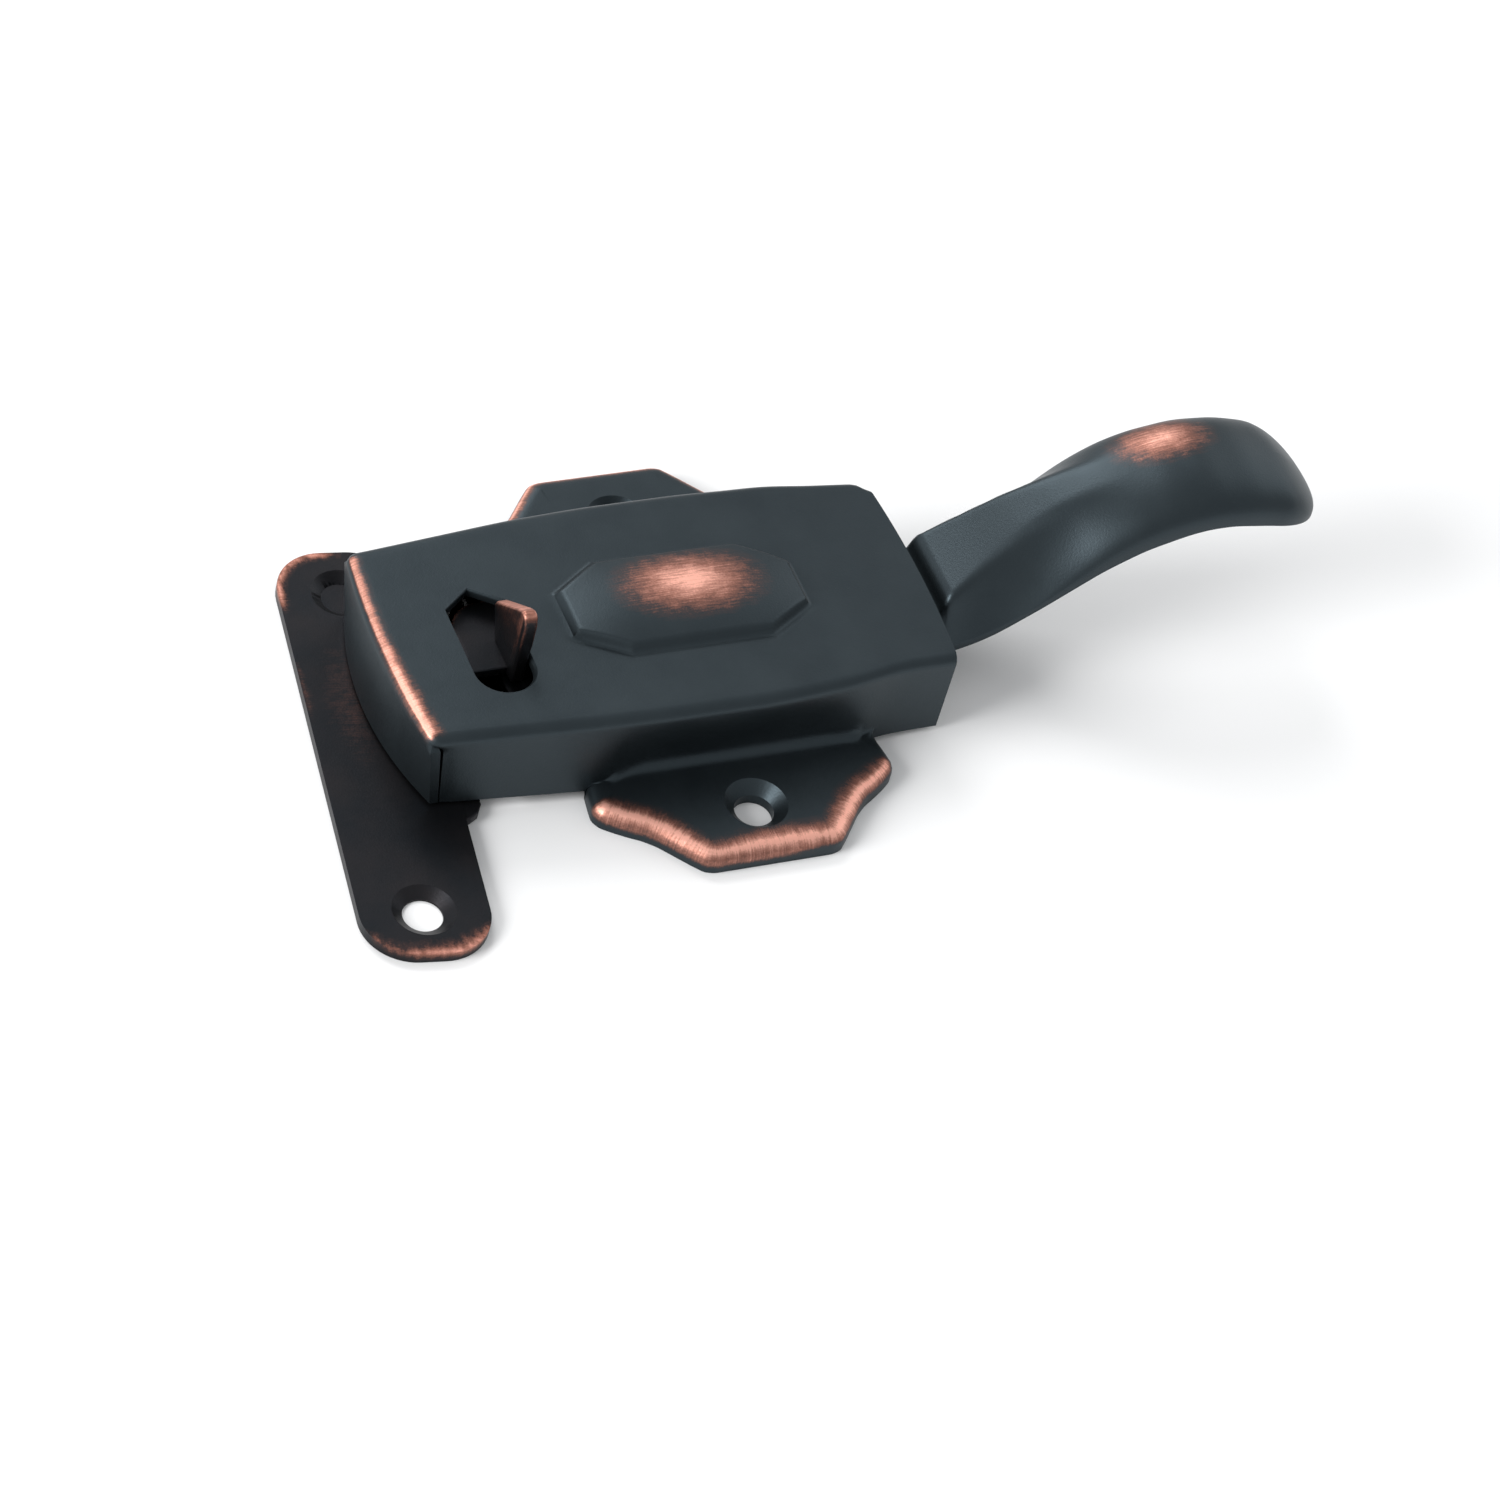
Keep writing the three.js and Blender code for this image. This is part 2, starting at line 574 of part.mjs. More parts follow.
function handleLoft(sink, drop) {
  const r = 2.2;
  const half = 6;
  const height = 5;
  const low = [-FAR, -half, -FAR];
  const high = [FAR * 3, half, height];
  const stations = steps(HANDLE_FROM, HANDLE_TO - 4, 15).concat([HANDLE_TO - 2.6, HANDLE_TO - 1.2, HANDLE_TO]);
  return bentBlock(
    stations.map((x, i) => (sink && i === stations.length - 1 ? x - sink : sink && i === 0 ? x - 1 : x)),
    edgeSteps(-half, half, r, 4),
    edgeSteps(0, height, r, 1, false, true),
    (x, y, z) => {
      const [, ry, rz] = rounded([x, y, z], low, high, r);
      const width = along(HANDLE_WIDTH, x) - sink;
      const rim = along(HANDLE_RIM, x) - drop;
      const edge = along(HANDLE_EDGE, x) - sink;
      const crown = along(HANDLE_CROWN, x) * (1 - (ry / half) ** 2);
      return [
        COVER_LEFT + x,
        (ry / half) * width,
        rim + ((edge - rim) * rz) / height + (crown * rz) / height,
      ];
    },
  );
}

function handleShape() {
  const shell = handleLoft(0, 0).subtract(handleLoft(HANDLE_SHEET, 3));
  return shell.subtract(axle(PIVOT_X, PIVOT_Z, -FAR, FAR, PIN_R + 0.3));
}

// The arm welded inside the handle; it carries the roller that presses the bolt's ramps.
function handleArm() {
  const arm = [
    [ROLLER_X, ROLLER_Z - 1.6], [PIVOT_X - 1.6, PIVOT_Z - 1.8], [PIVOT_X + 1.8, PIVOT_Z - 1.8],
    [PIVOT_X + 4.6, PIVOT_Z - 0.2], [PIVOT_X + 7.4, PIVOT_Z + 2.4], [PIVOT_X + 6.2, PIVOT_Z + 2.7],
    [PIVOT_X + 4.0, PIVOT_Z + 1.9], [PIVOT_X - 3.2, PIVOT_Z + 1.9], [ROLLER_X, ROLLER_Z + 1.6],
  ];
  let body = profile(arm, -ARM_HALF, ARM_HALF);
  body = body.add(axle(ROLLER_X, ROLLER_Z, -ARM_HALF, ARM_HALF, ROLLER_R + 0.8, 24));
  body = body.add(axle(PIVOT_X, PIVOT_Z, -ARM_HALF, ARM_HALF, PIN_R + 0.9));
  body = body.subtract(axle(ROLLER_X, ROLLER_Z, -FAR, FAR, ROLLER_R + 0.05, 24));
  return body.subtract(axle(PIVOT_X, PIVOT_Z, -FAR, FAR, PIN_R + 0.1));
}

function rollerShape() {
  const end = RAMP_OUTER_Y - 0.2;
  return axle(ROLLER_X, ROLLER_Z, -end, end, ROLLER_R, 24);
}

// The strike plate with its keeper bent up along one edge and folded over as a lip.
function strikeShape() {
  const w = STRIKE_HALF_WIDTH;
  const l = STRIKE_HALF_LENGTH;
  const r = STRIKE_CORNER;
  const corner = (cx, cy, from) =>
    steps(from, from + Math.PI / 2, 8).map((a) => [cx + r * Math.cos(a), cy + r * Math.sin(a)]);
  const outline = [
    ...corner(w - r, l - r, 0), ...corner(r - w, l - r, Math.PI / 2),
    ...corner(r - w, r - l, Math.PI), ...corner(w - r, r - l, 1.5 * Math.PI),
  ];
  let body = plate(outline, 0, STRIKE_SHEET);
  for (const side of [-1, 1]) {
    const y = STRIKE_HOLE_Y * side;
    body = body.subtract(screwHole(0, y, STRIKE_SHEET, SCREW_R, COUNTERSINK_R, STRIKE_SHEET * 0.8));
  }
  body = body.add(plate(KEEPER_FLANGE.map(([y, x]) => [w + x, y]), 0, STRIKE_SHEET));
  const wall = w + 0.5;
  body = body.add(block(wall - KEEPER_SHEET, wall, -KEEPER_HALF, KEEPER_HALF, 0, KEEPER_TOP));
  body = body.add(
    block(wall - KEEPER_SHEET, w + KEEPER_LIP, -KEEPER_HALF, KEEPER_HALF, KEEPER_TOP - 1.0, KEEPER_TOP),
  );
  return body.rotate([0, 0, THREE.MathUtils.radToDeg(STRIKE_TURN)]).translate([STRIKE_X, STRIKE_Y, 0]);
}

const BRONZE = { color: 0x373c3f, roughness: 0.45, metalness: 0.85 };
const DARK_BRONZE = { color: 0x272727, roughness: 0.5, metalness: 0.85 };
const PLATED = { color: 0x9a9b98, roughness: 0.35, metalness: 0.95 };
const SPRING_STEEL = { color: 0x6f7276, roughness: 0.3, metalness: 1.0 };

const latch = new THREE.Group();

function put(name, made, finish) {
  const mesh = made.getMesh();
  const geometry = new THREE.BufferGeometry();
  geometry.setAttribute("position", new THREE.BufferAttribute(mesh.vertProperties, 3));
  geometry.setIndex(new THREE.BufferAttribute(mesh.triVerts, 1));
  geometry.computeVertexNormals();
  const part = new THREE.Mesh(geometry, new THREE.MeshStandardMaterial(finish));
  part.name = name;
  latch.add(part);
}

put("cover", coverShape(), BRONZE);
put("base_plate", basePlate(), PLATED);
put("handle_pin", pinShape(), PLATED);
put("pin_clip_front", clipShape(-1), SPRING_STEEL);
put("pin_clip_rear", clipShape(1), SPRING_STEEL);
put("handle", handleShape(), BRONZE);
put("handle_arm", handleArm(), PLATED);
put("arm_roller", rollerShape(), PLATED);
put("bolt_plate", boltPlate(), DARK_BRONZE);
put("bolt_nose", noseShape(), DARK_BRONZE);
put("nose_rivet_front", rivet(NOSE_RIVET, -1, BOLT_FLOOR, NOSE_TOP + 0.2), PLATED);
put("nose_rivet_rear", rivet(NOSE_RIVET, 1, BOLT_FLOOR, NOSE_TOP + 0.2), PLATED);
put("bolt_spring", springShape(), SPRING_STEEL);
put("spring_rod", rodShape(), PLATED);
put("rod_clip", rodClip(), SPRING_STEEL);
put("lock_slide", lockSlide(), DARK_BRONZE);
put("lock_bridge", lockBridge(), DARK_BRONZE);
put("bridge_rivet_front", rivet(BRIDGE_RIVET, -1, 0.1, BRIDGE_RIVET.seat), PLATED);
put("bridge_rivet_rear", rivet(BRIDGE_RIVET, 1, 0.1, BRIDGE_RIVET.seat), PLATED);
put("strike", strikeShape(), DARK_BRONZE);

export default latch;
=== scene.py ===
from math import copysign, cos, exp, hypot, log1p, pi, radians, sin, tan

import bmesh
import bpy
import numpy as np
from mathutils import Matrix, Vector


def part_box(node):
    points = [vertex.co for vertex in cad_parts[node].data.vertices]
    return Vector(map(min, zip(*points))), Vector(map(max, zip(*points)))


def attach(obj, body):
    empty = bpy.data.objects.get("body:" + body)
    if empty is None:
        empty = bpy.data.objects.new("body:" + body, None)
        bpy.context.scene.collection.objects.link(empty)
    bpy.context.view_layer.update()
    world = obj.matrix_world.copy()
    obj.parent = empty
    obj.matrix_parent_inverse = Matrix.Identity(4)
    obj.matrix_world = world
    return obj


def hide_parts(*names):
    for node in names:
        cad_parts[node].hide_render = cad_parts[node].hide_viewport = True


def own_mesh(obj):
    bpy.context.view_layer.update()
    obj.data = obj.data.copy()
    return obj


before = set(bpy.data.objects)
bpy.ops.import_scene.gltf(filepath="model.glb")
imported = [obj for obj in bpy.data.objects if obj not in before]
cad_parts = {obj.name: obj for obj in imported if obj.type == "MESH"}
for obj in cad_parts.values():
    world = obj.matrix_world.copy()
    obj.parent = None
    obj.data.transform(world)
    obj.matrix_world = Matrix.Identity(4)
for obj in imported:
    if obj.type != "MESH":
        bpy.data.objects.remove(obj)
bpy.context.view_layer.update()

# Lengths below are millimetres unless a name says otherwise. +X runs from the strike end to the handle.
MM = 0.001

# Pressed cover
COVER_LEFT = -32.8
COVER_LENGTH = 56.4
COVER_TOP = 10.6
COVER_HALF = 13.0
COVER_FOLD = 1.15
COVER_CROWN = 0.6
COVER_SHEET = 1.0
FOOT_LEFT, FOOT_RIGHT = 1.5, 0.7
HALF_WIDTHS = [(0, 12.7), (8, 13.3), (17, 14.0), (25, 14.3), (35, 14.3), (44, 13.5), (50, 12.3), (57, 12.1)]
BACK_EXTRA = [(0, 0), (34, 0), (41, 0.35), (47, 1.0), (51, 1.15), (57, 0.7)]
COVER_CORNER = 1.1
SLIT_GAP = 0.35
# Ears
EAR_TOP = 2.3
EAR_SHOULDER = 1.6
EAR_DROP = 1.2
EAR_ROOT_Y = 13.9
EAR_OUTLINE = [
    (0, 25.5), (6.3, 25.5), (7.3, 25.2), (8.4, 24.0), (9.6, 22.6), (10.8, 21.2), (12.0, 20.2),
    (13.2, 19.5), (14.4, 18.7), (15.6, 17.8), (16.1, 16.8), (15.9, 15.2), (15.7, EAR_ROOT_Y),
]
REAR_EAR_EXTRA = 0.9
EAR_CREASE_X = 14.1
EAR_CLEAR_X = 15.9
SCREW_Y = 19.5
SCREW_R = 2.0
SINK_R = 3.2
SINK_DEPTH = 1.2
SEAT_R = 4.3
# Boss
BOSS_X = -2.2
BOSS_HEIGHT = 1.6
BOSS_RIM, BOSS_RIM_WIDTH, BOSS_GROOVE = 0.65, 0.6, 0.1
BOSS_BACK_Y = 6.2
BOSS = dict(x=12.6, y=5.75, cut_x=5.1, cut_y=3.0)
# Thumb slot
SLOT_LEFT, SLOT_RIGHT = -26.0, -20.0
SLOT_BACK, SLOT_SHOULDER, SLOT_FRONT = 5.4, 3.2, -8.2
# Handle, along its length from the cover's left end
HANDLE_SHEET = 1.1
HANDLE_FROM, HANDLE_TO = 50.4, 98.9
HANDLE_EDGE = [
    (50, 7.5), (53, 7.8), (56, 8.3), (57.4, 8.8), (59.5, 9.8), (62.5, 11.4), (67.7, 14.5), (72, 17.0),
    (76, 18.9), (80.4, 20.4), (84.8, 21.2), (89.6, 20.9), (94.3, 19.7), (97, 18.4), (98.4, 17.4),
    (99.9, 16.2),
]
HANDLE_RIM = [
    (50, 2.8), (53, 2.8), (56, 3.6), (59.9, 4.8), (61.9, 5.6), (63.8, 6.7), (67.6, 9.6), (73.4, 14.2),
    (77.5, 16.6), (81.9, 18.0), (84.2, 18.4), (87, 18.4), (91.3, 17.6), (94, 17.0), (96.4, 16.3),
    (99.9, 14.9),
]
HANDLE_HALF = [(50, 5.8), (57, 6.0), (68, 6.6), (78, 6.9), (88, 6.9), (92, 6.8)]
HANDLE_CROWN = [
    (50, 0.3), (56, 0.9), (58, 1.3), (62, 1.6), (66, 1.9), (70, 1.9), (76, 1.5), (80, 1.4), (86, 1.3),
    (94, 1.2), (99.9, 0.5),
]
HANDLE_NEAR_RIDGE = [(50, 4.6), (58, 4.4), (60, 3.6), (62, 2.8), (66, 1.6), (70, 0.9), (76, 0.3)]
HANDLE_FAR_RIDGE = [(50, 4.8), (58, 4.8), (62, 4.7), (66, 4.3), (70, 3.8), (76, 3.0)]
HANDLE_STEP, HANDLE_STEP_FROM, HANDLE_STEP_TO = 1.3, 57.6, 58.3
HANDLE_SQUARENESS = [(50, 4.0), (58, 3.2), (66, 2.6), (76, 2.5), (86, 2.5), (100, 2.4)]
HANDLE_NOSE = 92.0
SPOT_X, SPOT_Y, SPOT_HALF_X, SPOT_HALF_Y = 49.5, 3.2, 3.1, 1.9
# Lock slide
LEAF_FLOOR, LEAF_TOP = 7.8, 8.8
LEAF_X, LEAF_Y, LEAF_R = -21.4, 1.4, 4.1
TAB_LEFT, TAB_RIGHT = -21.6, -20.2
# Strike
STRIKE_SHEET = 1.1
STRIKE_TURN = radians(-7.9)
STRIKE_X, STRIKE_Y = -33.7, -4.7
STRIKE_HALF_WIDTH, STRIKE_HALF_LENGTH = 6.45, 26.1
STRIKE_CORNER = 5.2
STRIKE_HOLE_Y = 20.55
# Spring and rivets
SPRING_TURNS, SPRING_WIRE = 6.5, 0.35
RIVET_HEAD, RIVET_SHANK_SHARE = 0.6, 0.55


# Numbers and curves

def along(pairs, x):
    """Piecewise linear value of a table of (position, value)."""
    at, value = zip(*pairs)
    return np.interp(x, at, value)


def eased(pairs, x, reach):
    """A table's value with its corners eased over the given reach."""
    shifts = np.linspace(-reach, reach, 9)
    weights = np.cos(shifts / reach * pi / 2) ** 2
    first, last = pairs[0][0], pairs[-1][0]
    total = sum(w * along(pairs, np.clip(x + s, first, last)) for s, w in zip(shifts, weights))
    return total / weights.sum()


def smooth(t):
    t = np.clip(t, 0.0, 1.0)
    return t * t * (3 - 2 * t)


def span(low, high, count):
    return list(np.linspace(low, high, count + 1))


def chained(*parts):
    """Joins lists of steps whose ends meet."""
    out = list(parts[0])
    for part in parts[1:]:
        out += list(part)[1:]
    return out


# Meshes

def mesh_object(name, points, faces):
    """A mesh object at the origin from points in millimetres."""
    mesh = bpy.data.meshes.new(name)
    mesh.from_pydata([tuple(c * MM for c in p) for p in points], [], faces)
    mesh.validate()
    made = bpy.data.objects.new(name, mesh)
    bpy.context.scene.collection.objects.link(made)
    return made


def tidy_mesh(obj, merge=0.0):
    """Merges doubles and points every face outwards."""
    bm = bmesh.new()
    bm.from_mesh(obj.data)
    if merge:
        bmesh.ops.remove_doubles(bm, verts=bm.verts, dist=merge * MM)
        bmesh.ops.dissolve_degenerate(bm, edges=bm.edges, dist=merge * MM)
    bmesh.ops.recalc_face_normals(bm, faces=bm.faces)
    bm.to_mesh(obj.data)
    bm.free()


def evaluated_copy(obj):
    """Applies the object's modifiers and returns it as a plain mesh."""
    graph = bpy.context.evaluated_depsgraph_get()
    made = bpy.data.meshes.new_from_object(obj.evaluated_get(graph))
    obj.modifiers.clear()
    old = obj.data
    obj.data = made
    bpy.data.meshes.remove(old)
    made.name = obj.name
    return obj


def combine(obj, other, operation):
    """Boolean of obj with other, which is used up."""
    step = obj.modifiers.new(operation.lower(), "BOOLEAN")
    step.operation, step.object, step.solver = operation, other, "EXACT"
    evaluated_copy(obj)
    bpy.data.objects.remove(other)
    return obj


def stacked(rings):
    """Points and faces of a closed solid through rings of equal count, lowest first."""
    n = len(rings[0])
    faces = [list(range(n))[::-1], [(len(rings) - 1) * n + i for i in range(n)]]
    for k in range(len(rings) - 1):
        for i in range(n):
            a, b = k * n + i, k * n + (i + 1) % n
            faces.append([a, b, b + n, a + n])
    return [p for ring in rings for p in ring], faces


def turned(name, x, y, levels, sides=64):
    """A turned solid about a vertical axis through (x, y) from levels of (z, radius)."""
    angles = [2 * pi * i / sides for i in range(sides)]
    rings = [[(x + r * cos(a), y + r * sin(a), z) for a in angles] for z, r in levels]
    return mesh_object(name, *stacked(rings))


def gridded(obj, xs, ys):
    """Cuts the faces along planes of constant X and Y, so that values stored at points change finely."""
    work = bmesh.new()
    work.from_mesh(obj.data)
    for axis, values in (((1, 0, 0), xs), ((0, 1, 0), ys)):
        for value in values:
            bmesh.ops.bisect_plane(
                work, geom=work.verts[:] + work.edges[:] + work.faces[:], dist=1e-7,
                plane_co=Vector(axis) * float(value) * MM, plane_no=axis,
            )
    work.to_mesh(obj.data)
    work.free()


def shade(obj, angle_deg=35):
    obj.data.shade_smooth()
    obj.data.set_sharp_from_angle(angle=radians(angle_deg))


def surface_of(obj):
    """The object's points in millimetres and their normals."""
    def table(items, label):
        flat = np.zeros(len(items) * 3, np.float32)
        items.foreach_get(label, flat)
        return flat.reshape(-1, 3).astype(float)
    return table(obj.data.vertices, "co") / MM, table(obj.data.vertex_normals, "vector")


def write_rub(obj, lengthwise, crosswise, wear):
    """Stores where the finish is rubbed: place along the worn line, across it, and how worn, 0 to 1."""
    rub = obj.data.attributes.new("rub", "FLOAT_VECTOR", "POINT")
    rub.data.foreach_set("vector", np.stack([lengthwise, crosswise, wear], 1).astype(np.float32).ravel())


def finish_piece(obj, material, body, nodes):
    obj.data.materials.clear()
    obj.data.materials.append(material)
    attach(obj, body)
    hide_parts(*nodes)
    return obj


# Cover

def fold_lines(radius):
    """Distances from an edge inwards that are even in angle round half a fold."""
    return [radius * (1 - tan(radians(45 - 11.25 * k))) for k in range(5)]


def cover_columns():
    """Lengthwise lattice lines from the cover's left end, closer over the boss."""
    ear = [x - COVER_LEFT for x in (-EAR_CLEAR_X, -EAR_CREASE_X, EAR_CREASE_X, EAR_CLEAR_X)]
    boss_right = BOSS_X - COVER_LEFT + BOSS["x"] + 0.4
    return chained(
        fold_lines(COVER_FOLD),
        span(COVER_FOLD, ear[0], 26), span(ear[0], ear[1], 5), span(ear[1], boss_right, 112),
        span(boss_right, ear[2], 8), span(ear[2], ear[3], 4), span(ear[3], COVER_LENGTH, 13),
    )


def cover_rows():
    """Crosswise lattice lines from front to back, closer over the boss."""
    edge = [COVER_HALF - d for d in fold_lines(COVER_FOLD)]
    rear = chained(span(0, 6.0, 28), span(6.0, edge[-1], 8))
    half = rear + edge[::-1][1:]
    return [-y for y in half[::-1][:-1]] + half


def top_z(x):
    """Height of the crowned top at X."""
    return COVER_TOP + COVER_CROWN * np.sin(np.pi * np.clip((x - COVER_LEFT) / COVER_LENGTH, 0, 1))


def end_shift(u, across, depth):
    """How far the bowed end flap and the bowed mouth move a point along X."""
    bow = 1 - across * across
    flap = (-0.4 + 1.5 * depth - (0.8 + 1.6 * depth) * bow) * max(0.0, 1 - u / 14) ** 2
    return flap - 0.6 * across * across * max(0.0, (u - 40) / 16)


def foot_z(u):
    return FOOT_LEFT + (FOOT_RIGHT - FOOT_LEFT) * u / COVER_LENGTH


def half_width(u, back=0.0):
    """Half the cover's width; the back edge runs straighter towards the mouth and ends in a round corner."""
    corner = COVER_CORNER * smooth((u - COVER_LENGTH + 2.0) / 2.0) ** 2
    return eased(HALF_WIDTHS, u, 4.0) + back * (eased(BACK_EXTRA, u, 4.0) - corner)


def cover_warp(u, y, z):
    """From the plain box of the cover to its real curves."""
    foot = foot_z(u)
    depth = min(max((COVER_TOP - z) / COVER_TOP, 0), 1)
    across = y / COVER_HALF
    lift = (top_z(COVER_LEFT + u) - COVER_TOP) * z / COVER_TOP
    return (
        COVER_LEFT + u + end_shift(u, across, depth),
        across * half_width(u, 1.0 if y > 0 else 0.0),
        z * (COVER_TOP - foot) / COVER_TOP + foot + lift,
    )


def folded(u, y, z, inset):
    """A lattice point of the plain box moved onto its rounded folds, inset by part of the sheet."""
    core = (
        max(u, COVER_FOLD),
        min(max(y, COVER_FOLD - COVER_HALF), COVER_HALF - COVER_FOLD),
        min(z, COVER_TOP - COVER_FOLD),
    )
    d = [a - b for a, b in zip((u, y, z), core)]
    length = hypot(*d)
    reach = COVER_FOLD - inset
    return [c + v * reach / length for c, v in zip(core, d)]


def boss_rise(x, y):
    """Height of the boss over the crowned top: a short steep rim on an octagon, then a pillow."""
    nx, ny = BOSS["cut_y"], BOSS["cut_x"]
    length = hypot(nx, ny)
    nx, ny = nx / length, ny / length
    dx, dy = np.abs(x - BOSS_X), np.abs(y) * np.where(y > 0, BOSS["y"] / BOSS_BACK_Y, 1)
    cut = nx * BOSS["x"] + ny * (BOSS["y"] - BOSS["cut_y"])
    inside = np.minimum(np.minimum(BOSS["x"] - dx, BOSS["y"] - dy), cut - nx * dx - ny * dy)
    rim = smooth((inside + 0.1) / BOSS_RIM_WIDTH)
    across, along_x = np.clip(dy / BOSS["y"], 0, 1), np.clip(dx / BOSS["x"], 0, 1)
    pillow = (1 - across ** 2.2) * (1 - along_x ** 2.6)
    groove = BOSS_GROOVE * np.exp(-((inside + 0.35) / 0.25) ** 2) * smooth((-y - 1.5) / 3)
    return rim * (BOSS_RIM + (BOSS_HEIGHT - BOSS_RIM) * pillow) - groove


def mirrored(half):
    """A half outline with its mirror image as one line, and the distance run along it."""
    full = np.concatenate([half[::-1] * (-1, 1), half[1:]])
    return full, np.r_[0, np.cumsum(np.hypot(*np.diff(full, axis=0).T))]


def ear_curve():
    """The ear's half outline, eased at its corners, with outward normals, from the middle to the root."""
    full, run = mirrored(np.array(EAR_OUTLINE, float))
    fine = np.linspace(0, run[-1], 801)
    curve = np.stack([np.interp(fine, run, full[:, k]) for k in (0, 1)], 1)
    kernel = np.cos(np.linspace(-pi / 2, pi / 2, 25)) ** 2
    padded = np.pad(curve, ((12, 12), (0, 0)), mode="reflect", reflect_type="odd")
    curve = np.stack([np.convolve(padded[:, k], kernel / kernel.sum(), "valid") for k in (0, 1)], 1)
    half = curve[400:]
    step = np.gradient(half, axis=0)
    normal = np.stack([-step[:, 1], step[:, 0]], 1) / np.hypot(*step.T)[:, None]
    return half, normal


EAR_HALF, EAR_NORMAL = ear_curve()
FILLET_STEPS, PLATE_STEPS, SHOULDER_STEPS, RIM_STEPS = 5, 9, 7, 2
LOWER_STEPS = FILLET_STEPS + PLATE_STEPS + SHOULDER_STEPS + RIM_STEPS
WALL_FRACTIONS = [0.05, 0.15, 0.28, 0.42, 0.56, 0.70, 0.84, 1.0]


def ear_rows(x, wall_y, inset):
    """The lower rows of an ear column: up the fillet, over the plate and shoulder, down the rim."""
    share = min(abs(x) / EAR_CREASE_X, 1.0)
    k = share * (len(EAR_HALF) - 1)
    low = min(int(k), len(EAR_HALF) - 2)
    mix = lambda table: table[low] + (table[low + 1] - table[low]) * (k - low)
    edge, out = mix(EAR_HALF), mix(EAR_NORMAL)
    sign = -1 if x < 0 else 1
    edge, out = edge * (sign, 1), out * (sign, 1)
    shoulder = edge - out * EAR_SHOULDER
    root = np.array([x, wall_y])
    run = shoulder - root
    length = float(np.hypot(*run))
    grow = smooth(length / 4)
    rise, reach = 0.3 + 1.0 * grow, min(1.15 * grow, 0.5 * length)
    ahead = run / length if length > 1e-6 else np.zeros(2)
    plate_z = EAR_TOP - inset
    end = root + ahead * reach
    rows = []
    for i in range(1, FILLET_STEPS + 1):
        a = pi / 2 * i / FILLET_STEPS
        start = root - (0, inset)
        p = start + (end - start) * (1 - cos(a))
        rows.append((p[0], p[1], plate_z + (rise + inset) * (1 - sin(a))))
    for i in range(1, PLATE_STEPS + 1):
        p = end + (shoulder - end) * i / PLATE_STEPS
        rows.append((p[0], p[1], plate_z))
    across, drop = EAR_SHOULDER - inset, EAR_DROP - inset * 0.4
    for i in range(1, SHOULDER_STEPS + 1):
        a = pi / 2 * i / SHOULDER_STEPS
        p = shoulder + out * across * sin(a)
        rows.append((p[0], p[1], plate_z - drop * (1 - cos(a))))
    for i in range(1, RIM_STEPS + 1):
        rows.append((*(rows[-1][:2] if i > 1 else p), (plate_z - drop) * (1 - i / RIM_STEPS)))
    return np.array(rows, float), rise


def plain_rows(u, wall_y, inset):
    """The lower rows of a column beside the ear: straight down to the wall's foot."""
    heights = np.interp(
        np.arange(1, LOWER_STEPS + 1),
        [0, FILLET_STEPS, FILLET_STEPS + PLATE_STEPS, LOWER_STEPS],
        [EAR_TOP + 0.3, EAR_TOP, EAR_TOP - 0.25, foot_z(u)],
    )
    return np.array([(wall_x(u, z), wall_y - inset, z) for z in heights], float), 0.3


def wall_x(u, z):
    """X on the side wall at height z, past the open slit at the left corner."""
    if u < 2.6:
        start = COVER_SHEET + SLIT_GAP
        u = start + (2.6 - start) * u / 2.6
    return COVER_LEFT + u + end_shift(u, 1.0, (COVER_TOP - z) / COVER_TOP)


def lower_rows(u, wall_y, inset):
    x = COVER_LEFT + u
    if abs(x) <= EAR_CREASE_X + 1e-6:
        return ear_rows(x, wall_y, inset)
    if abs(x) >= EAR_CLEAR_X - 1e-6:
        return plain_rows(u, wall_y, inset)
    sign = copysign(1, x)
    inner, rise = ear_rows(sign * EAR_CREASE_X, wall_y, inset)
    outer, _ = plain_rows(sign * EAR_CLEAR_X - COVER_LEFT, wall_y, inset)
    share = (abs(x) - EAR_CREASE_X) / (EAR_CLEAR_X - EAR_CREASE_X)
    return inner + (outer - inner) * share, rise


def wall_column(u, side, inset):
    """One column of a side wall from just under the fold to the foot, front side for side -1."""
    x = COVER_LEFT + u
    fold = cover_warp(u, COVER_HALF, COVER_TOP - COVER_FOLD)
    width = half_width(u, 1.0 if side > 0 else 0.0)
    blend = 1 - smooth((abs(x) - 9.5) / 6.4)
    root_y = width + (EAR_ROOT_Y - 0.9 - width) * blend
    lower, rise = lower_rows(u, root_y, inset)
    base = EAR_TOP + rise
    points = []
    for f in WALL_FRACTIONS:
        z = fold[2] + (base - fold[2]) * f
        y = width + (root_y - width) * smooth(f * 1.15)
        points.append((wall_x(u, z), side * (y - inset), z))
    if side > 0:
        lower[:, 1] += REAR_EAR_EXTRA * smooth((lower[:, 1] - EAR_ROOT_Y - 0.5) / 7)
    points += [(px, side * py, pz) for px, py, pz in lower]
    return points


FLAP_STEPS = 12


def flap_point(y, step, inset):
    """A point of the end flap, step 0 at the fold."""
    z = (COVER_TOP - COVER_FOLD) * (1 - step / FLAP_STEPS)
    return cover_warp(inset, y, z)


